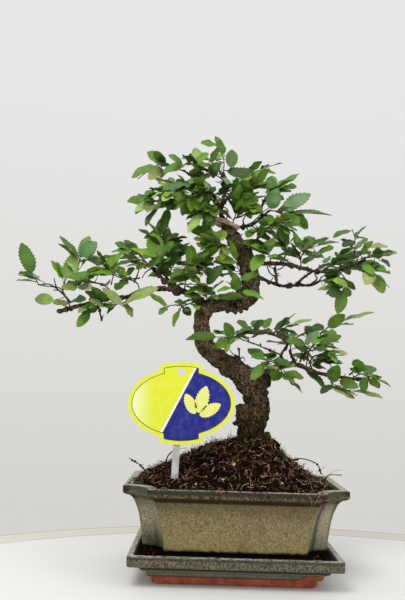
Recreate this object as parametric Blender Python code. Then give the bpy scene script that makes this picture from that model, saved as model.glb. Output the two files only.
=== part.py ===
"""A zelkova bonsai in a glazed pot on its drip tray, with a plain plant label. Metres, +Z up.

The origin is the middle of the tray's underside. X runs along the pot, and its front faces -Y.
The tree's layout is drawn in front elevation, as seen from EYE: a mark's first two numbers are its column
and row there, and one unit is about a millimetre on the tree. seen() gives the point behind a mark, at a
depth that is the point's own y, in millimetres.
"""

import math
import random

import bmesh
import bpy
from mathutils import Matrix, Vector
from mathutils.bvhtree import BVHTree

MM = 0.001
GAP = 0.0003

# The elevation's eye, its reach to the drawing, the drawing's middle, and the turns of its view
EYE = Vector((-0.031, -0.659, 0.170))
REACH = 671
MIDDLE = (202.5, 300)
VIEW_TURN, VIEW_RISE, VIEW_ROLL = 0.006, 0.1294, -0.0287

# Drip tray
TRAY_LENGTH, TRAY_WIDTH, TRAY_HEIGHT = 0.1855, 0.141, 0.027
TRAY_FLOOR = 0.0145
# Its outside, from the stepped clay foot up to the rim, then its inside, down from the rim: inset, height
# and corner radius
TRAY_OUTSIDE = ((0.0212, 0, 0.006), (0.0200, 0.0012, 0.006), (0.0198, 0.0068, 0.006), (0.0155, 0.0072, 0.006),
                (0.0148, 0.0112, 0.006), (0.0125, 0.0118, 0.006), (0.0098, 0.0140, 0.005), (0.0086, 0.0165, 0.004),
                (0.0008, 0.0178, 0.004), (0, 0.0186, 0.004), (0, 0.0256, 0.004),
                (0.0012, TRAY_HEIGHT, 0.0036), (0.0045, TRAY_HEIGHT, 0.003))
TRAY_INSIDE = ((0.0062, 0.0258, 0.003), (0.0085, 0.0190, 0.003), (0.0110, TRAY_FLOOR, 0.003))

# Pot
POT_LENGTH, POT_WIDTH, POT_TOP = 0.200, 0.153, 0.083
POT_BASE = TRAY_FLOOR + GAP
POT_FLOOR = POT_BASE + 0.0160
# Its outside, from the foot up to the lip, its mouth, and its inside, down to the floor: inset, height and how
# deep its corners are hollowed
POT_NOTCH, WALL_NOTCH = 0.0240, 0.0200
POT_OUTSIDE = ((0.0280, POT_BASE, WALL_NOTCH), (0.0250, 0.0264, WALL_NOTCH), (0.0184, 0.0290, WALL_NOTCH),
               (0.0178, 0.0330, WALL_NOTCH), (0.0159, 0.0465, WALL_NOTCH), (0.0133, 0.0600, WALL_NOTCH),
               (0.0112, 0.0662, WALL_NOTCH), (0.0090, 0.0710, WALL_NOTCH), (0.0060, 0.0737, 0.0225),
               (0.0014, 0.0754, POT_NOTCH), (0, 0.0768, POT_NOTCH), (0, 0.0816, POT_NOTCH),
               (0.0014, POT_TOP, POT_NOTCH))
POT_MOUTH = (0.0078, POT_TOP, POT_NOTCH)
POT_INSIDE = ((0.0140, 0.0700, POT_NOTCH), (0.0190, 0.0520, POT_NOTCH), (0.0215, 0.0400, POT_NOTCH),
              (0.0230, POT_FLOOR, POT_NOTCH))
# The foot is hollow underneath, with an arch through each long side and two drain holes in the pot's floor
FOOT_INSET, FOOT_HOLLOW = 0.036, 0.0090
ARCH_WIDTH, ARCH_TOP_WIDTH, ARCH_HEIGHT = 0.018, 0.013, 0.0082
DRAIN_RADIUS, DRAIN_OFFSET, DRAIN_DEPTH = 0.007, 0.042, 0.012
BELOW = 0.002

# Soil
SOIL_LIP = 0.0805
SOIL_INSET = 0.0090
SOIL_GRAIN = 0.0016
# The heap's crest, and how far it reaches to its left, right and front, each with the power of its fall
HEAP_X, HEAP_Y, HEAP_HEIGHT = 0.014, 0.004, 0.0455
HEAP_LEFT, HEAP_RIGHT, HEAP_FRONT = (0.110, 1.45), (0.054, 0.68), (0.071, 1.5)
HEAP_SHOULDER = 0.0205
MOUND_RINGS = (0.93, 0.80, 0.64, 0.47, 0.30, 0.13)

# Label, drawn about its own middle
LABEL_MIDDLE, LABEL_LEFT, LABEL_RIGHT, LABEL_DEPTH = (181.3, 403.2), (128, 403), (235, 403), -48
LABEL_HALF_WIDTH, LABEL_HALF_HEIGHT = 0.0482, 0.0321
TAB_HALF_WIDTH, TAB_EDGE, TAB_CROWN = 0.0194, 0.0344, 0.0369
LABEL_THICKNESS = 0.0008
OVAL_STEPS = 8
HOLE_RADIUS, HOLE_RISE = 0.0036, 0.0278
STAKE_TOP, STAKE_FOOT = (178.5, 412), (173, 504)
STAKE_WIDTH, STAKE_THICKNESS = 0.0064, 0.0015
STAKE_POINT, STAKE_TIP = 0.008, 0.001

# Trunk: how many sides its limbs have, the seed of each kind, and how far they are out of round
TRUNK_SIDES, THICK_SIDES, THIN_SIDES = 10, 6, 4
TRUNK_SEED, STUMP_SEED, THICK_SEED, THIN_SEED = 11, 21, 31, 51
BARK_ROUGH = 0.09

# Leaves
LEAF_EDGE = ((0.24, 0.86), (0.30, 0.76), (0.58, 0.98), (0.65, 0.76))
LEAF_CENTRE = 0.43
LEAF_THICKNESS = 0.0011
LEAF_FOLD, LEAF_DROOP = 0.16, 0.07
LEAF_TYPICAL = 0.021
LEAF_LONGER, LEAF_LEANS_MOST, LEAF_TOWARD_EYE, LEAF_SLIMMEST = 1.03, 1.5, 0.7, 0.5
STALK = 0.00036
STALK_STRAIGHT, STALK_BEND = 0.4, 0.0028
STEM_THICK, STEM_THIN = 0.0011, 0.0007
STEM_SIDES, STEM_STEP = 3, 0.0002
# A leaf by the rule: its length, its width as a share of that, its stalk's length, and how far it points
# ahead along the stem and up
RULE_LENGTH, RULE_WIDTH, RULE_STALK = (0.018, 0.025), (0.5, 0.58), (0.003, 0.005)
RULE_AHEAD, RULE_RISE, RULE_TILT = (0.3, 0.9), (-0.3, 0.2), 0.35
CLEARANCE = 0.0007
TRIES = 16
SPRAY_SEED = 100

# Limbs of the tree: column, row, depth and thickness at each point
TRUNK_LIMBS = (
    ((251, 458, 0, 24), (251, 444, 0, 28), (251, 432, 0, 30), (254, 418, -1, 26), (258, 405, -2, 24),
     (255, 393, -3, 26), (250, 383, -4, 27), (238, 372, -6, 23), (225, 363.5, -7, 21), (213, 354, -8, 20),
     (205.5, 345, -8, 19), (202, 334, -8, 17.5), (201.7, 325, -7, 17), (203.5, 315, -5, 17),
     (206, 307, -3, 17)),
    ((203, 312, -4, 14), (210, 306, -3, 16), (220, 303, -1, 15), (232, 302, 1, 15), (245, 299.5, 2, 17),
     (252, 294, 2, 15)),
    ((249, 303, 2, 14), (250.5, 290, 2, 18), (250, 277, 1, 19), (248, 266, 0, 20), (244, 256, 0, 18),
     (238, 247, 0, 16.5), (232.5, 238, 0, 14.5), (228, 229, 0, 12), (224, 223, 0, 9)),
)
STUMP = ((250, 446, -4, 17), (247, 430, -5, 18), (243.5, 405, -5, 17))
THICK_BRANCHES = (
    ((230, 302.5, -1, 12), (235, 307.5, -3, 9)),
    ((233, 229, 0, 7), (220, 224, -4, 6), (203, 216, -8, 5.5)),
    ((203, 304, -2, 9), (188, 293, -6, 6.6), (171, 289, -10, 5.6), (155, 289, -13, 5), (141, 291, -15, 5),
     (128, 297, -18, 5), (112, 298, -20, 4.6), (97, 302, -22, 4.2), (78, 306, -24, 4), (60, 311, -26, 3.6)),
    ((245, 262, 0, 9), (259, 263.5, -5, 5), (277, 263.6, -7, 4.2), (291, 265, -9, 4), (303, 268.4, -10, 3.6),
     (320, 272, -12, 3.4), (338, 270.7, -14, 3), (350, 267, -14, 2.8), (364, 260, -12, 2.4)),
    ((248, 276, 0, 8), (260, 278, 3, 4.4), (271, 282.5, 6, 3.6), (283, 286, 8, 3.2), (296, 285.5, 10, 3),
     (311, 285, 11, 2.8), (320, 281, 11, 2.4)),
    ((251, 384, -4, 15), (264, 375.4, -6, 9), (278, 367, -10, 6.4), (292, 364, -13, 5.2),
     (304, 367, -13, 4.6), (315, 372, -12, 4.2), (329, 375.4, -10, 3.8), (346, 378, -8, 3.2),
     (362, 380, -6, 2.6), (370, 379, -6, 2.2)),
)
THIN_BRANCHES = (
    ((225, 226, 0, 7), (220.5, 212, 0, 5), (223, 200, -2, 4.5), (225, 186, -2, 4), (223, 172, 0, 3)),
    ((188, 293, -6, 4), (171, 284, -2, 4), (162, 278, 2, 3.4), (151, 267, 7, 2.6)),
    ((97, 302, -22, 2), (100, 312, -23, 1.8), (101.5, 320, -23, 1.4)),
    ((277, 284, 7, 2.2), (275.5, 268, 4, 1.6)),
    ((290, 364, -12.6, 4), (281, 356, -20, 3.2), (287, 343, -23, 3), (270, 333.5, -26, 2.6),
     (248, 333, -28, 2)),
    ((281, 355, -20, 1.8), (260, 346, -23, 1.5), (242, 339.6, -24, 1.2)),
    ((240, 371, -10, 3), (239.5, 360, -17, 2.2), (239, 349, -19, 1.4)),
    ((230, 231, 0, 5), (240, 227, 1, 3.4), (251.4, 225.3, 0, 2.8), (262, 217, -4, 2.4), (270, 210, -6, 2)),
    ((262, 217, -4, 2.2), (262, 206, -2, 2), (266, 197, 0, 1.8)),
    ((221, 206, -1, 3.2), (208, 190, 2, 2.6), (195, 178, 4, 2.2), (182, 170, 5, 1.8)),
    ((221, 208, -1, 3), (208, 196, -8, 2.4), (200, 192, -12, 2)),
    ((220.5, 212, 0, 3), (205, 205, -2, 2.4), (192, 201, -3, 2)),
    ((223, 205, -1, 3), (230, 195, 18, 2.6), (238, 185, 34, 2)),
    ((221, 215, 0, 3), (210, 205, 18, 2.6), (198, 196, 34, 2)),
    ((246, 261, 0, 4), (252, 246, 20, 3), (260, 236, 36, 2)),
    ((171, 284.6, -2, 3), (165, 275, 18, 2.6), (155, 268, 32, 2)),
    ((296, 285.5, 10, 2.8), (303, 278, 26, 2.4), (312, 272, 38, 2)),
    ((296, 365, -13, 3), (292, 357, 8, 2.6), (290, 350, 22, 2)),
    ((224.6, 186, -2, 3), (222, 176, 14, 2.4), (218, 168, 24, 2)),
)

# Sprays: name, stems (column, row, depth), leaves (foot, tip, width as seen), and leaves added by the rule
SPRAYS = (
    ("left_tip",
     (((71, 308, -24.6), (62, 290, -28), (54, 287, -30), (40, 285, -32), (36, 280, -33)),
      ((62, 290, -28), (65, 280, -27))),
     ((32, 273, 23, 243, 15), (41, 281, 19, 274, 4), (37, 276, 22, 272, 3), (54, 300, 32, 299, 12),
      (68, 303, 55, 302, 6), (66, 279, 75, 252, 16), (64, 278, 53, 262, 8), (72, 301, 86, 298, 6)), 1),
    ("left_riser",
     (((113, 298, -20), (108, 288, -21), (94, 282, -22), (80, 280, -23), (78, 270, -22), (80, 260, -21)),),
     ((81, 256, 97, 242, 15), (79, 258, 61, 236, 5), (80, 262, 101, 258, 3), (95, 276, 70, 277, 10),
      (76, 287, 63, 287, 8), (78, 287, 93, 287, 7)), 2),
    ("left_mid",
     (((140, 291, -15), (136, 282, -17), (121, 278, -16), (112, 274, -15), (105, 267, -14)),),
     ((112, 274, 88, 268, 9), (105, 266, 121, 255, 9)), 3),
    ("left_low",
     (((130, 296, -17.6), (123, 303, -26), (110, 305, -28), (98, 306, -29), (88, 308, -30)),),
     ((109, 299, 93, 294, 6), (122, 304, 103, 288, 10), (124, 305, 157, 286, 8), (102, 304, 114, 308, 6),
      (90, 306, 79, 311, 5)), 1),
    ("left_high_tip",
     (((151, 267, 7), (143, 259, 8), (136, 252, 9), (131, 251, 10)),),
     ((130, 252, 110, 250, 5), (139, 264, 125, 258, 6), (135, 269, 121, 275, 7), (147, 266, 161, 260, 7)), 2),
    ("left_high",
     (((162, 278, 2), (159, 266, 0), (158, 256, -2), (161, 245, -3), (164, 234, -4)),),
     ((157, 256, 131, 248, 7), (159, 254, 152, 233, 18), (165, 231, 143, 238, 8),
      (161, 256, 173, 242, 8)), 3),
    ("left_inner",
     (((176, 286.6, -3.4), (171, 272, 8), (171, 258, 12), (171, 246, 14)),),
     ((171, 245, 190, 252, 9), (162, 271, 179, 256, 7), (186, 266, 175, 261, 6)), 3),
    ("left_shoulder",
     (((184, 291.6, -7), (186, 280, -14), (190, 272, -16), (196, 266, -17), (203, 268, -18)),),
     ((185, 269, 170, 276, 7), (193, 266, 204, 253, 12), (205, 270, 171, 275, 6), (197, 278, 168, 281, 6.5),
      (177, 292, 159, 297, 8)), 1),
    ("bend_left",
     (((209, 305, -3), (206, 296, -14), (204, 288, -18), (196, 284, -21)),),
     ((205, 287, 184, 292, 6), (215, 295, 201, 293, 6)), 2),
    ("bend_front",
     (((248, 298, 2), (243, 294, -14), (238, 290, -18), (236, 286, -19)),),
     ((243, 297, 213, 298, 8), (242, 292, 264, 297, 6), (236, 290, 235, 277, 12)), 1),
    ("trunk_right",
     (((249, 276, 1), (243, 274, -14), (238, 268, -17), (236, 262, -18)),),
     ((241, 279, 257, 273, 7), (236, 263, 215, 257, 8), (235, 271, 218, 266, 7)), 1),
    ("trunk_left",
     (((238, 247, 0), (228, 246, -12), (216, 245, -15), (208, 240, -16)),),
     ((213, 245, 198, 245, 7), (222, 230, 222, 241, 11)), 4),
    ("bend_low",
     (((200, 302, -3), (191, 303, -14), (184, 306, -16), (178, 310, -17)),
      ((184, 306, -16), (176, 305, -17), (168, 306, -18))),
     ((167, 306, 149, 293, 6), (187, 304, 175, 302, 5), (184, 308, 191, 315, 9), (180, 310, 172, 326, 5)), 0),
    ("crown_top",
     (((223.4, 174, 0), (224, 161, -1), (221, 151, -2)), ((224, 163, -1), (213, 159, -4))),
     ((224, 154, 216, 138, 9), (231, 168, 232, 145, 13), (210, 161, 219, 150, 7), (216, 144, 201, 142, 6),
      (227, 171, 258, 176, 11)), 0),
    ("crown_top_left",
     (((224, 180, -1), (212, 173, -9), (203, 168, -11), (195, 164, -12), (186, 163, -13)),),
     ((195, 164, 207, 154, 7), (182, 165, 170, 156, 7), (188, 164, 190, 155, 5), (212, 170, 221, 164, 7)), 3),
    ("crown_far_left",
     (((183, 170.6, 5), (172, 168, 5), (164, 166, 4), (156, 167, 3)),),
     ((165, 164, 145, 149, 12), (155, 166, 130, 176, 8)), 4),
    ("crown_left",
     (((201, 192.4, -11.6), (190, 189, -15), (176, 190, -17), (166, 191, -18)),),
     ((190, 187, 162, 187, 8), (164, 191, 150, 186, 6)), 4),
    ("crown_low_left",
     (((193, 201.4, -3), (180, 200, -4), (168, 201, -5), (160, 202, -6), (153, 201, -6)),),
     ((153, 201, 127, 201, 10), (152, 202, 134, 211, 8), (162, 203, 142, 225, 4), (181, 206, 167, 208, 4),
      (170, 200, 157, 192, 8), (176, 199, 160, 205, 7)), 2),
    ("crown_front",
     (((221, 209, -0.6), (214, 206, -16), (206, 208, -23), (203, 213, -25)),),
     ((205, 209, 183, 212, 9), (207, 212, 196, 193, 10), (205, 212, 219, 203, 8)), 2),
    ("crown_heart",
     (((223, 200, -2), (215, 196, -18), (208, 191, -22), (198, 192, -24), (190, 197, -25)),),
     ((209, 190, 186, 177, 12), (186, 197, 174, 194, 7)), 5),
    ("crown_right",
     (((224.6, 192, -2), (234, 196, -8), (240, 194, -10), (248, 190, -12), (254, 187, -13)),),
     ((239, 195, 224, 176, 5), (240, 197, 255, 189, 8), (254, 187, 265, 183, 4), (240, 185, 251, 177, 5)), 4),
    ("crown_mid_right",
     (((230, 231, 0), (236, 214, -14), (240, 206, -16), (247, 203, -17)),),
     ((238, 206, 258, 200, 7), (246, 214, 261, 210, 7)), 5),
    ("crown_right_top",
     (((265.4, 198.4, -0.4), (271, 193, 0), (278, 189, 0)),),
     ((278, 189, 301, 169, 8), (267, 191, 276, 185, 7)), 3),
    ("crown_far_right",
     (((269, 210.8, -5.8), (278, 211, -9), (286, 211, -11), (293, 213, -12)),),
     ((282, 210, 310, 194, 15), (293, 213, 332, 213, 4), (271, 209, 277, 189, 16)), 1),
    ("right_heart",
     (((250, 225.4, 0), (258, 229, -9), (267, 228, -13), (280, 222, -15)),),
     ((267, 225, 272, 212, 11), (258, 236, 265, 224, 8)), 4),
    ("right_rise",
     (((283, 264.4, -8), (285, 255, -12), (285, 246, -14)),),
     ((287, 246, 279, 223, 13), (283, 246, 263, 242, 6), (282, 245, 274, 235, 4)), 1),
    ("right_inner",
     (((270, 263.6, -6.4), (270, 257, -16), (266, 252, -19), (260, 250, -20)),),
     ((267, 254, 252, 245, 7),), 4),
    ("right_mid",
     (((301, 268, -10), (301, 258, -8), (305, 250, -6), (313, 247, -5)),),
     ((302, 262, 312, 258, 6), (318, 252, 332, 248, 6)), 4),
    ("right_top",
     (((320, 272, -12), (330, 266, -9), (344, 262.5, -7), (357, 260, -7)),),
     ((357, 257, 334, 258, 7),), 4),
    ("right_up",
     (((350, 267, -14), (354, 256, -18), (355, 240, -20), (352, 229, -21)),),
     ((351, 231, 331, 237, 5), (356, 237, 367, 222, 4), (354, 241, 341, 245, 7), (355, 248, 366, 240, 7)), 0),
    ("right_tip",
     (((363, 260.4, -12), (371, 255, -10), (377, 258, -9), (381, 258, -9)),),
     ((377, 258, 378, 248, 11), (382, 255, 394, 252, 5), (381, 261, 393, 265, 6), (375, 265, 386, 271, 6),
      (368, 248, 390, 244, 6), (362, 254, 370, 243, 7)), 0),
    ("right_tip_low",
     (((357, 263.8, -13), (362, 268, -20), (370, 270, -22), (374, 272, -23)),),
     ((364, 264, 373, 275, 10), (371, 274, 382, 286, 4), (359, 268, 373, 283, 4)), 1),
    ("right_hang",
     (((338, 270.7, -14), (344, 277, -20), (346, 284, -22), (343, 290, -23)),),
     ((341, 291, 328, 295, 10), (345, 287, 348, 298, 11), (347, 284, 333, 279, 7)), 1),
    ("right_under",
     (((319, 281.2, 11), (327, 279, 8), (334, 276, 6)),),
     ((325, 284, 344, 268, 5),), 3),
    ("low_front",
     (((249, 333, -28), (240, 335, -29), (232, 337, -30), (222, 337, -31)),),
     ((216, 337, 186, 337, 9), (232, 337, 225, 324, 11), (228, 336, 213, 328, 5), (236, 340, 212, 347, 10),
      (228, 344, 226, 352, 6), (238, 336, 249, 337, 5), (250, 328, 238, 321, 6)), 0),
    ("low_back",
     (((266, 333.4, -26.4), (260, 330, -18), (254, 329, -15)),),
     ((254, 329, 263, 321, 8), (266, 333, 250, 336, 6)), 2),
    ("low_mid",
     (((274, 336, -25.4), (276, 330, -17), (284, 328, -14)),),
     ((275, 328, 289, 323, 7),), 4),
    ("low_top",
     (((306, 368, -13), (309, 352, -8), (317, 339, -6), (326, 329, -5), (340, 322, -4)),),
     ((328, 327, 343, 316, 12), (343, 321, 373, 312, 4), (324, 330, 310, 326, 9),
      (320, 334, 337, 330, 4)), 1),
    ("low_right",
     (((313, 371, -12.2), (308, 356, -20), (312, 347, -22), (318, 345, -23), (328, 351, -24)),),
     ((319, 344, 340, 335, 8), (317, 347, 336, 343, 6), (305, 344, 318, 333, 8), (305, 344, 287, 339, 8),
      (329, 352, 346, 353, 4)), 1),
    ("low_inner",
     (((281, 356, -20), (272, 361, -27), (264, 362, -29)),),
     ((267, 361, 252, 355, 5), (270, 364, 257, 367, 6), (274, 361, 289, 364, 8)), 1),
    ("low_hang",
     (((284, 365.6, -11), (281, 370, -19), (284, 375, -21)),),
     ((278, 370, 273, 380, 13), (284, 374, 305, 377, 8)), 1),
    ("low_dark",
     (((309, 369, -12.6), (312, 362, -3), (318, 359, 1), (326, 358, 3)),),
     ((305, 370, 327, 388, 8), (312, 366, 329, 367, 7), (316, 358, 333, 352, 7)), 3),
    ("low_tip",
     (((330, 375.6, -9.8), (331, 381, -18), (334, 387, -20), (343, 389, -21), (350, 391, -22)),),
     ((331, 381, 338, 366, 14), (340, 381, 355, 386, 11), (331, 385, 320, 393, 7), (332, 387, 354, 396, 7),
      (352, 391, 381, 396, 4)), 0),
    ("low_far",
     (((352, 378.8, -7), (360, 374, -12), (367, 376, -14)),),
     ((353, 372, 362, 368, 6), (368, 376, 383, 377, 4), (360, 373, 350, 368, 5)), 1),
    ("back_crown_right",
     (((237, 186.2, 32.4), (244, 178, 42), (252, 172, 50), (262, 170, 56)),), (), 6),
    ("back_crown_left",
     (((199, 196.8, 32.6), (188, 190, 44), (178, 186, 52), (168, 184, 58)),), (), 6),
    ("back_middle",
     (((259, 237.2, 34), (268, 228, 46), (276, 222, 54), (286, 220, 60)),), (), 6),
    ("back_left",
     (((156, 268.6, 30.6), (145, 262, 40), (135, 258, 46), (124, 258, 50)),), (), 5),
    ("back_right",
     (((311, 272.6, 36.8), (322, 266, 46), (332, 262, 52), (342, 260, 56)),), (), 5),
    ("back_low",
     (((290, 351, 20), (292, 342, 32), (298, 336, 40), (306, 332, 46)),), (), 5),
    ("back_top",
     (((218.4, 168.8, 23), (212, 162, 32), (204, 158, 40)),), (), 4),
)

# Stray roots that stand out of the soil: column, row, depth and thickness at each point
ROOTS = (
    ((288, 468, -6, 2.4), (293, 460, -7, 2), (304, 459, -8, 1.8), (317, 464, -9, 1.6), (321, 474, -10, 1.6)),
    ((322, 484.5, -4, 2), (328, 475.5, -5, 1.6), (342, 475, -6, 1.2)),
    ((146, 481, -6, 2), (145, 470.5, -7, 1.8), (139, 464, -7, 1.4), (129, 458, -8, 1.2)),
    ((165, 475, -20, 2.4), (167, 458, -21, 2), (173, 450.5, -22, 1.4)),
)


def view():
    """Turns the elevation's own axes, right, away and up, to the world's."""
    turn, rise, roll = (Matrix.Rotation(angle, 3, axis)
                        for angle, axis in ((VIEW_TURN, "Z"), (VIEW_RISE, "X"), (VIEW_ROLL, "Y")))
    return turn @ rise @ roll


VIEW = view()


def seen(column, row, depth):
    """The point at this depth, in millimetres, behind a mark of the elevation."""
    ray = VIEW @ Vector((column - MIDDLE[0], REACH, MIDDLE[1] - row))
    return EYE + ray * ((depth * MM - EYE.y) / ray.y)


def mark_of(point):
    """The column and row at which a point shows."""
    ray = VIEW.transposed() @ (point - EYE)
    return Vector((MIDDLE[0] + REACH * ray.x / ray.y, MIDDLE[1] - REACH * ray.z / ray.y))


def scale_at(depth):
    """Metres at this depth, in millimetres, for one unit of the elevation."""
    return (depth * MM - EYE.y) / REACH


def paint(name, colour, roughness, coat=0.0):
    material = bpy.data.materials.new(name)
    material.use_nodes = True
    shader = material.node_tree.nodes["Principled BSDF"]
    shader.inputs["Base Color"].default_value = (*colour, 1)
    shader.inputs["Roughness"].default_value = roughness
    shader.inputs["Coat Weight"].default_value = coat
    material.diffuse_color = (*colour, 1)
    return material


def solid(name, points, faces, material=None):
    """An object from points and faces, with its faces turned outwards."""
    mesh = bpy.data.meshes.new(name)
    mesh.from_pydata([tuple(point) for point in points], [], faces)
    shape = bmesh.new()
    shape.from_mesh(mesh)
    bmesh.ops.recalc_face_normals(shape, faces=shape.faces)
    shape.to_mesh(mesh)
    shape.free()
    made = bpy.data.objects.new(name, mesh)
    bpy.context.scene.collection.objects.link(made)
    if material:
        mesh.materials.append(material)
    return made


def apply(obj, modifier):
    with bpy.context.temp_override(object=obj, active_object=obj, selected_objects=[obj]):
        bpy.ops.object.modifier_apply(modifier=modifier.name)


def combine(obj, pieces, operation, solver="EXACT"):
    """One Boolean of the object with a collection of pieces, which are then removed."""
    group = bpy.data.collections.new("pieces")
    bpy.context.scene.collection.children.link(group)
    for piece in pieces:
        group.objects.link(piece)
    boolean = obj.modifiers.new(operation.lower(), "BOOLEAN")
    boolean.operation = operation
    boolean.operand_type = "COLLECTION"
    boolean.collection = group
    boolean.solver = solver
    apply(obj, boolean)
    for piece in pieces:
        bpy.data.objects.remove(piece)
    bpy.data.collections.remove(group)
    return obj


def stacked(rings):
    """Points and faces of a closed shell through rings of the same count, the first and last capped."""
    count = len(rings[0])
    points = [point for ring in rings for point in ring]
    faces = [tuple(reversed(range(count))), tuple(range(len(points) - count, len(points)))]
    for low in range(0, len(points) - count, count):
        for i in range(count):
            j = (i + 1) % count
            faces.append((low + i, low + j, low + count + j, low + count + i))
    return points, faces


def rounded(length, width, radius, height, steps=3):
    """A rectangle's outline with round corners, anticlockwise."""
    ring = []
    for corner, (side_x, side_y) in enumerate(((1, -1), (1, 1), (-1, 1), (-1, -1))):
        middle = (side_x * (length / 2 - radius), side_y * (width / 2 - radius))
        for step in range(steps):
            angle = math.pi / 2 * (corner - 1 + step / (steps - 1))
            x, y = middle[0] + radius * math.cos(angle), middle[1] + radius * math.sin(angle)
            ring.append(Vector((x, y, height)))
    return ring


def notched(length, width, notch, height, steps=4):
    """A rectangle's outline whose corners are hollowed by a quarter circle, anticlockwise."""
    ring = []
    for corner, (side_x, side_y) in enumerate(((1, -1), (1, 1), (-1, 1), (-1, -1))):
        tip = (side_x * length / 2, side_y * width / 2)
        for step in range(steps):
            angle = math.pi / 2 * (corner + 2 - step / (steps - 1))
            ring.append(Vector((tip[0] + notch * math.cos(angle), tip[1] + notch * math.sin(angle), height)))
    return ring


def circle(radius, count):
    """A circle's points in the XY plane, anticlockwise."""
    turns = [math.tau * step / count for step in range(count)]
    return [Vector((radius * math.cos(turn), radius * math.sin(turn), 0)) for turn in turns]


def raised(ring, rise):
    return [point + Vector((0, 0, rise)) for point in ring]


def build_tray(glaze):
    """A shallow dish: an upright rim over a rounded body, on a stepped clay foot."""
    rings = [rounded(TRAY_LENGTH - 2 * inset, TRAY_WIDTH - 2 * inset, radius, height)
             for inset, height, radius in TRAY_OUTSIDE + TRAY_INSIDE]
    return solid("tray", *stacked(rings), glaze)


def build_pot(glaze):
    """The pot's walls run from a flared lip down to a clay foot, with an arch in the foot's long sides."""
    rings = [notched(POT_LENGTH - 2 * inset, POT_WIDTH - 2 * inset, notch, height)
             for inset, height, notch in POT_OUTSIDE + (POT_MOUTH,) + POT_INSIDE]
    pot = solid("pot", *stacked(rings), glaze)
    low = POT_BASE - BELOW
    hollow = notched(POT_LENGTH - 2 * FOOT_INSET, POT_WIDTH - 2 * FOOT_INSET, POT_NOTCH, low)
    cutters = [solid("hollow", *stacked([hollow, raised(hollow, FOOT_HOLLOW + BELOW)]))]
    top = POT_BASE + ARCH_HEIGHT
    arch = [Vector((x, -POT_WIDTH / 2, low)) for x in (-ARCH_WIDTH / 2, ARCH_WIDTH / 2)]
    arch += [Vector((x, -POT_WIDTH / 2, top)) for x in (ARCH_TOP_WIDTH / 2, -ARCH_TOP_WIDTH / 2)]
    cutters.append(solid("arch", *stacked([arch, [point + Vector((0, POT_WIDTH, 0)) for point in arch]])))
    for side in (-1, 1):
        rim = [Vector((side * DRAIN_OFFSET, 0, low)) + point for point in circle(DRAIN_RADIUS, 8)]
        cutters.append(solid("drain", *stacked([rim, raised(rim, DRAIN_DEPTH + BELOW)])))
    return combine(pot, cutters, "DIFFERENCE")


def mound(x, y):
    """The soil's height above its lip: a steep-sided heap round the trunk's foot, lower to the left."""
    left = 1 - min(1, abs(x - HEAP_X) / HEAP_LEFT[0]) ** HEAP_LEFT[1]
    right = 1 - min(1, max(0, x - HEAP_X - HEAP_SHOULDER) / HEAP_RIGHT[0]) ** HEAP_RIGHT[1]
    front = 1 - min(1, abs(y - HEAP_Y) / HEAP_FRONT[0]) ** HEAP_FRONT[1]
    return HEAP_HEIGHT * (left if x < HEAP_X else right) * front


def build_soil(earth, trunk_foot, stake_cut):
    """Soil that fills the pot to its lip and heaps up to the trunk, which stands in a plain hole."""
    draw = random.Random(5)
    rings = []
    for inset, height, _ in POT_INSIDE[::-1] + ((SOIL_INSET, SOIL_LIP, POT_NOTCH),):
        slack = 2 * (inset + 2 * GAP)
        height = max(height, POT_FLOOR + GAP)
        rings.append(subdivided(notched(POT_LENGTH - slack, POT_WIDTH - slack, POT_NOTCH, height)))
    lip = rings[-1]
    crest = Vector((HEAP_X, HEAP_Y, SOIL_LIP))
    for share in MOUND_RINGS:
        ring = []
        for point in lip:
            at = crest.lerp(point, share)
            at += Vector([draw.uniform(-1, 1) * SOIL_GRAIN for _ in range(3)])
            at.z += mound(at.x, at.y)
            ring.append(at)
        rings.append(ring)
    soil = solid("soil", *stacked(rings), earth)
    roots = [tube(f"root_{index}", run, THIN_SIDES, index) for index, run in enumerate(ROOTS)]
    combine(soil, roots, "UNION")
    return combine(soil, [trunk_foot, stake_cut], "DIFFERENCE")


def subdivided(ring):
    """The ring with its straight sides cut in four, so that the heap can bend there."""
    ends = []
    for i, point in enumerate(ring):
        after = ring[(i + 1) % len(ring)]
        ends.append(point)
        if (after - point).length > 0.03:
            ends += [point.lerp(after, share) for share in (0.25, 0.5, 0.75)]
    return ends


def run_of(marks, wider=0.0):
    """World points and radii of a limb's marks."""
    return [(seen(column, row, depth), thickness / 2 * scale_at(depth) + wider)
            for column, row, depth, thickness in marks]


def tube_shape(run, sides, rough=0.0, seed=0):
    """Points and faces of a limb: rings square to its run, each a little out of round."""
    draw = random.Random(seed)
    rings = []
    across = None
    for index, (point, radius) in enumerate(run):
        before, after = run[max(0, index - 1)][0], run[min(len(run) - 1, index + 1)][0]
        ahead = (after - before).normalized()
        if across is None:
            across = Vector((0.3, -0.8, 0.5))
        across = (across - ahead * across.dot(ahead)).normalized()
        beside = ahead.cross(across)
        ring = []
        for step in range(sides):
            turn = math.tau * step / sides
            reach = radius * (1 + rough * draw.uniform(-1, 1))
            ring.append(point + across * (reach * math.cos(turn)) + beside * (reach * math.sin(turn)))
        rings.append(ring)
    return stacked(rings)


def tube(name, marks, sides, seed, wider=0.0):
    return solid(name, *tube_shape(run_of(marks, wider), sides, BARK_ROUGH, seed))


def limbs():
    """Marks, sides and seed of the trunk's stretches, the stump at its foot and every branch."""
    found = [(marks, TRUNK_SIDES, TRUNK_SEED + index) for index, marks in enumerate(TRUNK_LIMBS)]
    found.append((STUMP, TRUNK_SIDES, STUMP_SEED))
    found += [(marks, THICK_SIDES, THICK_SEED + index) for index, marks in enumerate(THICK_BRANCHES)]
    found += [(marks, THIN_SIDES, THIN_SEED + index) for index, marks in enumerate(THIN_BRANCHES)]
    return found


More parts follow.
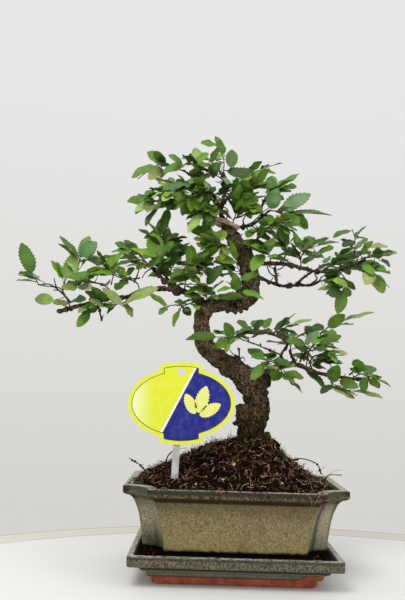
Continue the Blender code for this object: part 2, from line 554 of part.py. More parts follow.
def build_trunk(bark):
    """Every limb, fused."""
    tubes = [tube(f"limb_{seed}", marks, sides, seed) for marks, sides, seed in limbs()]
    trunk = combine(tubes[0], tubes[1:], "UNION")
    trunk.name = trunk.data.name = "trunk"
    trunk.data.materials.clear()
    trunk.data.materials.append(bark)
    return trunk


def label_axes():
    """The label's middle, and its right, up and backward directions."""
    middle = seen(*LABEL_MIDDLE, LABEL_DEPTH)
    right = (seen(*LABEL_RIGHT, LABEL_DEPTH) - seen(*LABEL_LEFT, LABEL_DEPTH)).normalized()
    back = Vector((0, 1, 0))
    return middle, right, right.cross(back), back


def build_label(print_colours):
    """An oval card with a tab above and below, and a round hole in the upper one."""
    middle, right, up, back = label_axes()
    outline = []
    tab_turn = math.acos(TAB_HALF_WIDTH / LABEL_HALF_WIDTH)
    for side in (1, -1):
        for step in range(OVAL_STEPS + 1):
            turn = tab_turn * (1 - 2 * step / OVAL_STEPS) + (0 if side == 1 else math.pi)
            outline.append((LABEL_HALF_WIDTH * math.cos(turn), LABEL_HALF_HEIGHT * math.sin(turn)))
        for share in (1, 0.5, 0, -0.5, -1):
            rise = TAB_CROWN - (TAB_CROWN - TAB_EDGE) * share * share
            outline.append((side * share * TAB_HALF_WIDTH, -side * rise))
    rings = [[middle + right * x + up * z + back * depth for x, z in outline]
             for depth in (0, LABEL_THICKNESS)]
    plate = solid("label_plate", *stacked(rings), print_colours)
    hole = [[middle + right * point.x + up * (HOLE_RISE + point.y) + back * depth
             for point in circle(HOLE_RADIUS, 16)] for depth in (-BELOW, LABEL_THICKNESS + BELOW)]
    return combine(plate, [solid("hole", *stacked(hole))], "DIFFERENCE")


def stake_shape(grow=0.0):
    """The stake's strip, from behind the card down to its pointed foot in the soil."""
    depth = LABEL_DEPTH + (LABEL_THICKNESS + GAP + STAKE_THICKNESS / 2) / MM
    top, foot = seen(*STAKE_TOP, depth), seen(*STAKE_FOOT, depth)
    down = (foot - top).normalized()
    beside = down.cross(Vector((0, 1, 0)))
    half, thick = STAKE_WIDTH / 2 + grow, STAKE_THICKNESS / 2 + grow
    shoulder, point = foot - down * STAKE_POINT, foot + down * grow
    outline = [top - beside * half, top + beside * half, shoulder + beside * half,
               point + beside * STAKE_TIP, point - beside * STAKE_TIP, shoulder - beside * half]
    return stacked([[corner + Vector((0, step, 0)) for corner in outline] for step in (-thick, thick)])


def leaf_shape(leaf, swell=0.0, stalk=True):
    """Points and faces of a toothed leaf: a fan above and one below that share the edge, and a thin stalk."""
    foot, along, across, up, length, width, root = leaf
    half = width / 2 + swell

    def at(share, beside, rise):
        lift = LEAF_FOLD * abs(beside) - LEAF_DROOP * length * share ** 2 + rise
        return foot + along * (share * length) + across * beside + up * lift

    right = [at(share, -half * reach, 0) for share, reach in LEAF_EDGE]
    left = [at(share, half * reach, 0) for share, reach in LEAF_EDGE]
    ring = [at(0, -STALK - swell, 0), at(0, STALK + swell, 0), at(0, 0, -STALK - swell)]
    points = [ring[0]] + right + [at(1 + swell / length, 0, 0)] + left[::-1] + [ring[1]]
    edge = len(points)
    thick = LEAF_THICKNESS / 2 + swell
    points += [at(LEAF_CENTRE, 0, thick), at(LEAF_CENTRE, 0, -thick), ring[2]]
    over, under, keel = edge, edge + 1, edge + 2
    faces = [(over, i, (i + 1) % edge) for i in range(edge)]
    faces += [(under, i + 1, i) for i in range(edge - 1)]
    faces += [(under, keel, edge - 1), (under, 0, keel)]
    if not stalk:
        return points, faces + [(0, edge - 1, keel)]
    hold = [0, edge - 1, keel]
    stops = [foot, root]
    if (foot - root).dot(along) < STALK_STRAIGHT * (foot - root).length:
        stops.insert(1, foot - along * STALK_BEND)
    ways = [(before - stop).normalized() for before, stop in zip(stops, stops[1:])]
    ways.append(ways[-1])
    ahead, beside, above = along, across, up
    thickness = STALK + swell
    for stop, way, next_way in zip(stops[1:], ways, ways[1:]):
        swing = ahead.rotation_difference(way + next_way)
        ahead, beside, above = swing @ ahead, swing @ beside, swing @ above
        start = len(points)
        points += [stop - beside * thickness, stop + beside * thickness, stop - above * thickness]
        for i in range(3):
            j = (i + 1) % 3
            faces += [(hold[i], hold[j], start + j), (hold[i], start + j, start + i)]
        hold = [start, start + 1, start + 2]
    return points, faces + [tuple(hold)]


def tree_of(points, faces):
    """A shape's middle and reach, for a quick look, and its tree of faces, for a close one."""
    middle = sum(points, Vector()) / len(points)
    reach = max((point - middle).length for point in points)
    return middle, reach, BVHTree.FromPolygons(points, faces)


def meets(one, other):
    if (one[0] - other[0]).length > one[1] + other[1]:
        return False
    return bool(one[2].overlap(other[2]))


def stem_run(marks, bark, joins):
    """A stem's points and radii. One that joins no other grows from the bark, and starts just off it."""
    points = [seen(*mark) for mark in marks]
    last = len(points) - 1
    radii = [STEM_THICK + (STEM_THIN - STEM_THICK) * index / last for index in range(last + 1)]
    if not joins:
        buried, reach = points[0], (points[1] - points[0]).length
        ahead = (points[1] - points[0]) / reach
        for step in range(int(reach / STEM_STEP) - 5, 0, -1):
            start = buried + ahead * (step * STEM_STEP)
            ends = start - ahead * GAP, start + ahead * 5 * STEM_STEP
            wide = tree_of(*tube_shape([(point, STEM_THICK + 2 * GAP) for point in ends], STEM_SIDES))
            if any(meets(wide, limb) for limb in bark):
                break
            points[0] = start
    return list(zip(points, radii))


def nearest_on(stems, column, row):
    """The stems' point that shows nearest to a mark."""
    best = None
    for stem in stems:
        for (start, _), (end, _) in zip(stem, stem[1:]):
            for step in range(1, 9):
                point = start.lerp(end, (step - 0.4) / 8)
                away = (mark_of(point) - Vector((column, row))).length
                if best is None or away < best[0]:
                    best = (away, point)
    return best[1]


def drawn_leaf(mark, stems, draw, turn):
    """The leaf behind a drawn one. It leans out of the drawing as far as its real length needs."""
    column, row, tip_column, tip_row, seen_width = mark
    run = math.hypot(tip_column - column, tip_row - row)
    back = Vector((column - tip_column, row - tip_row)) * (3 / run)
    root = nearest_on(stems, column + back.x, row + back.y)
    depth = root.y / MM - 1.5 + (draw.uniform(-1.2, 1.2) * turn if turn else 0)
    scale = scale_at(depth)
    run *= scale
    length = max(run * LEAF_LONGER, min(run * LEAF_LEANS_MOST, LEAF_TYPICAL))
    lean = math.sqrt(length ** 2 - run ** 2) / MM * (1 if draw.random() < LEAF_TOWARD_EYE else -1)
    foot = seen(column, row, depth)
    along = (seen(tip_column, tip_row, depth - lean) - foot).normalized()
    width = max(LEAF_SLIMMEST * length, seen_width * scale)
    face = min(1, seen_width * scale / width) * (1 if turn < 5 else draw.uniform(0.7, 1))
    toward = EYE - foot
    toward = (toward - along * toward.dot(along)).normalized()
    other = along.cross(toward) * math.sqrt(1 - face ** 2)
    up = toward * face + (other if other.z > 0 else -other)
    return foot, along, up.cross(along), up, length, width, root


def grown_leaf(stems, index, count, draw):
    """A leaf by the rule: along the stem, to its two sides in turn, more or less level."""
    stem = stems[0]
    share = (index + 0.9) / count * (len(stem) - 1)
    piece = min(int(share), len(stem) - 2)
    start, end = stem[piece][0], stem[piece + 1][0]
    root = start.lerp(end, share - piece)
    ahead = (end - start).normalized()
    level = Vector((draw.gauss(0, RULE_TILT), draw.gauss(-RULE_TILT, RULE_TILT), 1)).normalized()
    side = ahead.cross(level) * (1 if index % 2 else -1)
    along = ahead * draw.uniform(*RULE_AHEAD) + side * (0.25 if index == count - 1 else 1)
    along = (along + Vector((0, 0, draw.uniform(*RULE_RISE)))).normalized()
    up = (level - along * level.dot(along)).normalized()
    length = draw.uniform(*RULE_LENGTH)
    foot = root + along * draw.uniform(*RULE_STALK)
    return foot, along, up.cross(along), up, length, length * draw.uniform(*RULE_WIDTH), root


def lay_out():
    """Each spray's stems and leaves. A leaf that would meet another spray's is drawn again or left out."""
    bark = [tree_of(*tube_shape(run_of(marks), sides, BARK_ROUGH, seed)) for marks, sides, seed in limbs()]
    plan = []
    for name, stems, marks, extra in SPRAYS:
        runs = [stem_run(stem, bark, joins=index > 0) for index, stem in enumerate(stems)]
        wide = [[(point, radius + CLEARANCE) for point, radius in run] for run in runs]
        solids = [tree_of(*tube_shape(run, STEM_SIDES)) for run in wide]
        plan.append((name, runs, [], solids, [], marks, extra))
    for number, (name, runs, leaves, solids, blades, marks, extra) in enumerate(plan):
        draw = random.Random(SPRAY_SEED + number)
        others = bark + [tree for other in plan if other[0] != name for tree in other[3]]
        for index in range(len(marks) + extra):
            spare = None
            for turn in range(TRIES):
                if index < len(marks):
                    leaf = drawn_leaf(marks[index], runs, draw, turn)
                else:
                    leaf = grown_leaf(runs, index - len(marks), extra, draw)
                wide = tree_of(*leaf_shape(leaf, CLEARANCE))
                if any(meets(wide, tree) for tree in others):
                    continue
                spare = spare or leaf
                blade = tree_of(*leaf_shape(leaf, 0, stalk=False))
                if not any(meets(blade, tree) for tree in blades + solids):
                    spare = leaf
                    break
            if spare:
                leaves.append(spare)
                solids.append(tree_of(*leaf_shape(spare)))
                blades.append(tree_of(*leaf_shape(spare, 0, stalk=False)))
    return [(name, runs, leaves) for name, runs, leaves, *_ in plan]


def build_sprays(green):
    for name, runs, leaves in lay_out():
        pieces = [solid(f"stem_{index}", *tube_shape(run, STEM_SIDES)) for index, run in enumerate(runs)]
        pieces += [solid(f"leaf_{index}", *leaf_shape(leaf)) for index, leaf in enumerate(leaves)]
        spray = combine(pieces[0], pieces[1:], "UNION", "MANIFOLD")
        spray.name = spray.data.name = f"spray_{name}"
        spray.data.materials.clear()
        spray.data.materials.append(green)


def main():
    for obj in list(bpy.data.objects):
        bpy.data.objects.remove(obj)
    build_tray(paint("tray_glaze", (0.13, 0.13, 0.10), 0.3, 0.4))
    build_pot(paint("pot_glaze", (0.24, 0.22, 0.12), 0.35, 0.4))
    trunk_foot = tube("trunk_foot", TRUNK_LIMBS[0][:4], TRUNK_SIDES, TRUNK_SEED, wider=2 * GAP)
    stump_foot = tube("stump_foot", STUMP, TRUNK_SIDES, STUMP_SEED, wider=2 * GAP)
    combine(trunk_foot, [stump_foot], "UNION")
    build_soil(paint("earth", (0.045, 0.028, 0.02), 0.95), trunk_foot, solid("stake_cut", *stake_shape(GAP)))
    build_trunk(paint("bark", (0.10, 0.075, 0.055), 0.9))
    build_sprays(paint("leaf", (0.09, 0.24, 0.04), 0.5))
    build_label(paint("label_print", (0.75, 0.80, 0.10), 0.4))
    solid("label_stake", *stake_shape(), paint("stake", (0.75, 0.78, 0.80), 0.35))


main()
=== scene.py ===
"""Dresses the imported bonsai: toothed leaves on thin twigs, knobbly bark, fibrous soil, glazed pot and tray,
clay feet, and a printed card on its stake. Metres, +Z up.

The tree is laid out as the solids are, in front elevation as seen from EYE, so that every leaf and limb lies
where its solid does. A mark's first two numbers are its column and row there.
"""

import math
import random

import bmesh
import bpy
from mathutils import Matrix, Vector
from mathutils.bvhtree import BVHTree


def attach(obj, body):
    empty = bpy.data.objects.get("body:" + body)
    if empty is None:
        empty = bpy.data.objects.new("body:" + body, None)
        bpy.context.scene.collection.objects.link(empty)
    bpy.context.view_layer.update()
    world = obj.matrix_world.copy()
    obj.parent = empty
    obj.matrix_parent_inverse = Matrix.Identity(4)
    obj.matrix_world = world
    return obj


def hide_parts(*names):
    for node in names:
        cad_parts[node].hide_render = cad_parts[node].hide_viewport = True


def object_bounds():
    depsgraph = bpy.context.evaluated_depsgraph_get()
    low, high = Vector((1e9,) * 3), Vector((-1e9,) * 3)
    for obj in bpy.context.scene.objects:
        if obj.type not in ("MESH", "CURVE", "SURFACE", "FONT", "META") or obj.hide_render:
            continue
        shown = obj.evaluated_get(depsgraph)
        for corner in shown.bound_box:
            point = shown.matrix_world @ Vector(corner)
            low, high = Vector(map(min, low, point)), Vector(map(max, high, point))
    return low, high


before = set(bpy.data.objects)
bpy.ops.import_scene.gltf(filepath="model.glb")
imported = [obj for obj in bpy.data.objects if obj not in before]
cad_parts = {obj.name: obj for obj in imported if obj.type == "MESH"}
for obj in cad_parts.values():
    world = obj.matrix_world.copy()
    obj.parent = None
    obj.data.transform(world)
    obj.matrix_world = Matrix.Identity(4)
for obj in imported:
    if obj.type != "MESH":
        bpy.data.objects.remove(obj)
cad_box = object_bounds()

MM = 0.001
GAP = 0.0003
ROOT = "root"

# The elevation's eye, its reach to the drawing, the drawing's middle, and the turns of its view
EYE = Vector((-0.031, -0.659, 0.170))
REACH = 671
MIDDLE = (202.5, 300)
PICTURE_HEIGHT = 600
VIEW_TURN, VIEW_RISE, VIEW_ROLL = 0.006, 0.1294, -0.0287
SENSOR = 36


def cornered(corner, *rows):
    """Rows of inset, height and corner, from rows of inset and height that share one corner."""
    return tuple((inset, height, corner) for inset, height in rows)


# Drip tray, from the ground up: its foot, its body, its rim and its inside down to the floor. A row is an
# inset, a height and how far the corners are rounded
TRAY_LENGTH, TRAY_WIDTH, TRAY_HEIGHT = 0.1855, 0.141, 0.027
TRAY_FLOOR = 0.0145
TRAY_FOOT = cornered(0.006, (0.0216, 0), (0.0206, 0.0006), (0.0200, 0.0018), (0.0198, 0.0064),
                     (0.0194, 0.0070), (0.0158, 0.0073), (0.0152, 0.0079), (0.0148, 0.0110), (0.0142, 0.0115))
TRAY_BODY = ((0.0128, 0.0118, 0.006), (0.0108, 0.0128, 0.0055), (0.0097, 0.0143, 0.005),
             (0.0084, 0.0162, 0.0045),
             *cornered(0.004, (0.0046, 0.0171), (0.0008, 0.0179), (0, 0.0192), (0, 0.0254)))
TRAY_RIM_ROUND = 0.0014
TRAY_RIM = 0.0055
TRAY_INSIDE = cornered(0.003, (0.0064, 0.0255), (0.0085, 0.0190), (0.0110, TRAY_FLOOR))

# Pot: its foot, its wall up to the lip, its mouth and its inside down to the floor. A row is an inset, a
# height and how deep the corners are hollowed
POT_LENGTH, POT_WIDTH, POT_TOP = 0.200, 0.153, 0.083
POT_NOTCH, WALL_NOTCH = 0.0240, 0.0200
NOTCH_STEPS, NOTCH_PROFILE = 12, 0.086
POT_BASE = TRAY_FLOOR + GAP
POT_FLOOR = POT_BASE + 0.0160
POT_FOOT = cornered(WALL_NOTCH, (0.0280, POT_BASE), (0.0268, 0.0180), (0.0252, 0.0260))
POT_BODY = (*cornered(WALL_NOTCH, (0.0188, 0.0284), (0.0181, 0.0298), (0.0178, 0.0330), (0.0168, 0.0395),
                      (0.0159, 0.0465), (0.0149, 0.0527), (0.0133, 0.0600), (0.0112, 0.0662)),
            (0.0090, 0.0708, 0.0206), (0.0060, 0.0737, 0.0222), (0.0020, 0.0752, 0.0236),
            (0, 0.0767, POT_NOTCH))
POT_LIP_ROUND, POT_LIP = 0.0013, 0.0078
POT_INSIDE = cornered(POT_NOTCH, (0.0082, 0.0810), (0.0140, 0.0700), (0.0190, 0.0520), (0.0215, 0.0400),
                      (0.0230, POT_FLOOR))
FOOT_INSET, FOOT_HOLLOW = 0.036, 0.0090
ARCH_WIDTH, ARCH_TOP_WIDTH, ARCH_HEIGHT = 0.018, 0.013, 0.0082
DRAIN_RADIUS, DRAIN_OFFSET, DRAIN_DEPTH = 0.007, 0.042, 0.012
BELOW = 0.002
ROUND_STEPS = 4

# Label, drawn about its own middle
LABEL_MIDDLE, LABEL_LEFT, LABEL_RIGHT, LABEL_DEPTH = (181.3, 403.2), (128, 403), (235, 403), -48
LABEL_HALF_WIDTH, LABEL_HALF_HEIGHT = 0.0482, 0.0321
TAB_HALF_WIDTH, TAB_RISE = 0.0194, 0.0048
LABEL_THICKNESS = 0.0008
HOLE_RADIUS, HOLE_RISE = 0.0036, 0.0278
CARD_BORDER, CARD_LINE = 0.0034, 0.0006
STAKE_TOP, STAKE_FOOT = (178.5, 412), (173, 504)
STAKE_WIDTH, STAKE_THICKNESS = 0.0064, 0.0015
STAKE_POINT, STAKE_TIP = 0.008, 0.001

# Trunk: how many sides its solid limbs have, the seed of each kind, and how far they are out of round
TRUNK_SIDES, THICK_SIDES, THIN_SIDES = 10, 6, 4
TRUNK_SEED, STUMP_SEED, THICK_SEED, THIN_SEED = 11, 21, 31, 51
BARK_ROUGH = 0.09

# Leaves, as their solids are laid out
LEAF_EDGE = ((0.24, 0.86), (0.30, 0.76), (0.58, 0.98), (0.65, 0.76))
LEAF_CENTRE = 0.43
LEAF_THICKNESS = 0.0011
LEAF_FOLD, LEAF_DROOP = 0.16, 0.07
LEAF_TYPICAL = 0.021
LEAF_LONGER, LEAF_LEANS_MOST, LEAF_TOWARD_EYE, LEAF_SLIMMEST = 1.03, 1.5, 0.7, 0.5
STALK = 0.00036
STALK_STRAIGHT, STALK_BEND = 0.4, 0.0028
STEM_THICK, STEM_THIN = 0.0011, 0.0007
STEM_SIDES, STEM_STEP = 3, 0.0002
RULE_LENGTH, RULE_WIDTH, RULE_STALK = (0.018, 0.025), (0.5, 0.58), (0.003, 0.005)
RULE_AHEAD, RULE_RISE, RULE_TILT = (0.3, 0.9), (-0.3, 0.2), 0.35
CLEARANCE = 0.0007
TRIES = 16
SPRAY_SEED = 100

# Leaves, as they look: teeth on each side, where a tooth peaks in its own length, how far the edge goes in
# and out, the blade's thickness, and how far the side veins lean
TEETH = 9
TOOTH_PEAK, TOOTH_IN, TOOTH_OUT = 0.72, 0.885, 1.06
BLADE_THICKNESS = 0.0005
RIB_LEAN = 0.12
# Small leaves that fill the tree out: where along their stem they grow, how they lie, their stalk, length and
# width, how far inside the solids' box they keep, and how many a spray has
FILL_SEED = 300
FILL_ALONG = (0.15, 1)
FILL_AHEAD, FILL_RISE, FILL_TILT, FILL_FORWARD = (0.1, 1.1), (-0.4, 0.6), 0.45, 0.35
FILL_STALK, FILL_LENGTH, FILL_WIDTH = (0.002, 0.006), (0.013, 0.024), (0.48, 0.62)
FILL_MARGIN = 0.002
FILL_TONES = "MMMDDPPMB"
FILL_USUAL = 5
FILL = {"crown_top": 2, "crown_top_left": 14, "crown_left": 18, "crown_heart": 30, "crown_right": 18,
        "crown_mid_right": 16, "crown_front": 22, "crown_right_top": 8, "right_heart": 15, "trunk_left": 24,
        "left_tip": 3, "left_riser": 6, "left_mid": 10, "left_low": 12, "left_inner": 22, "left_shoulder": 30,
        "right_mid": 15, "right_top": 12, "right_inner": 13, "right_rise": 6, "right_tip": 3, "right_up": 3,
        "crown_far_left": 3, "crown_low_left": 12, "low_tip": 2, "low_front": 2, "bend_low": 3,
        "bend_left": 12, "left_high": 12, "left_high_tip": 6}

# Limbs of the tree: column, row, depth and thickness at each point
TRUNK_LIMBS = (
    ((251, 458, 0, 24), (251, 444, 0, 28), (251, 432, 0, 30), (254, 418, -1, 26), (258, 405, -2, 24),
     (255, 393, -3, 26), (250, 383, -4, 27), (238, 372, -6, 23), (225, 363.5, -7, 21), (213, 354, -8, 20),
     (205.5, 345, -8, 19), (202, 334, -8, 17.5), (201.7, 325, -7, 17), (203.5, 315, -5, 17),
     (206, 307, -3, 17)),
    ((203, 312, -4, 14), (210, 306, -3, 16), (220, 303, -1, 15), (232, 302, 1, 15), (245, 299.5, 2, 17),
     (252, 294, 2, 15)),
    ((249, 303, 2, 14), (250.5, 290, 2, 18), (250, 277, 1, 19), (248, 266, 0, 20), (244, 256, 0, 18),
     (238, 247, 0, 16.5), (232.5, 238, 0, 14.5), (228, 229, 0, 12), (224, 223, 0, 9)),
)
STUMP = ((250, 446, -4, 17), (247, 430, -5, 18), (243.5, 405, -5, 17))
# The first is the lobe under the first bend, which burls show here, and the second the old cut's stub
THICK_BRANCHES = (
    ((230, 302.5, -1, 12), (235, 307.5, -3, 9)),
    ((233, 229, 0, 7), (220, 224, -4, 6), (203, 216, -8, 5.5)),
    ((203, 304, -2, 9), (188, 293, -6, 6.6), (171, 289, -10, 5.6), (155, 289, -13, 5), (141, 291, -15, 5),
     (128, 297, -18, 5), (112, 298, -20, 4.6), (97, 302, -22, 4.2), (78, 306, -24, 4), (60, 311, -26, 3.6)),
    ((245, 262, 0, 9), (259, 263.5, -5, 5), (277, 263.6, -7, 4.2), (291, 265, -9, 4), (303, 268.4, -10, 3.6),
     (320, 272, -12, 3.4), (338, 270.7, -14, 3), (350, 267, -14, 2.8), (364, 260, -12, 2.4)),
    ((248, 276, 0, 8), (260, 278, 3, 4.4), (271, 282.5, 6, 3.6), (283, 286, 8, 3.2), (296, 285.5, 10, 3),
     (311, 285, 11, 2.8), (320, 281, 11, 2.4)),
    ((251, 384, -4, 15), (264, 375.4, -6, 9), (278, 367, -10, 6.4), (292, 364, -13, 5.2),
     (304, 367, -13, 4.6), (315, 372, -12, 4.2), (329, 375.4, -10, 3.8), (346, 378, -8, 3.2),
     (362, 380, -6, 2.6), (370, 379, -6, 2.2)),
)
THIN_BRANCHES = (
    ((225, 226, 0, 7), (220.5, 212, 0, 5), (223, 200, -2, 4.5), (225, 186, -2, 4), (223, 172, 0, 3)),
    ((188, 293, -6, 4), (171, 284, -2, 4), (162, 278, 2, 3.4), (151, 267, 7, 2.6)),
    ((97, 302, -22, 2), (100, 312, -23, 1.8), (101.5, 320, -23, 1.4)),
    ((277, 284, 7, 2.2), (275.5, 268, 4, 1.6)),
    ((290, 364, -12.6, 4), (281, 356, -20, 3.2), (287, 343, -23, 3), (270, 333.5, -26, 2.6),
     (248, 333, -28, 2)),
    ((281, 355, -20, 1.8), (260, 346, -23, 1.5), (242, 339.6, -24, 1.2)),
    ((240, 371, -10, 3), (239.5, 360, -17, 2.2), (239, 349, -19, 1.4)),
    ((230, 231, 0, 5), (240, 227, 1, 3.4), (251.4, 225.3, 0, 2.8), (262, 217, -4, 2.4), (270, 210, -6, 2)),
    ((262, 217, -4, 2.2), (262, 206, -2, 2), (266, 197, 0, 1.8)),
    ((221, 206, -1, 3.2), (208, 190, 2, 2.6), (195, 178, 4, 2.2), (182, 170, 5, 1.8)),
    ((221, 208, -1, 3), (208, 196, -8, 2.4), (200, 192, -12, 2)),
    ((220.5, 212, 0, 3), (205, 205, -2, 2.4), (192, 201, -3, 2)),
    ((223, 205, -1, 3), (230, 195, 18, 2.6), (238, 185, 34, 2)),
    ((221, 215, 0, 3), (210, 205, 18, 2.6), (198, 196, 34, 2)),
    ((246, 261, 0, 4), (252, 246, 20, 3), (260, 236, 36, 2)),
    ((171, 284.6, -2, 3), (165, 275, 18, 2.6), (155, 268, 32, 2)),
    ((296, 285.5, 10, 2.8), (303, 278, 26, 2.4), (312, 272, 38, 2)),
    ((296, 365, -13, 3), (292, 357, 8, 2.6), (290, 350, 22, 2)),
    ((224.6, 186, -2, 3), (222, 176, 14, 2.4), (218, 168, 24, 2)),
)

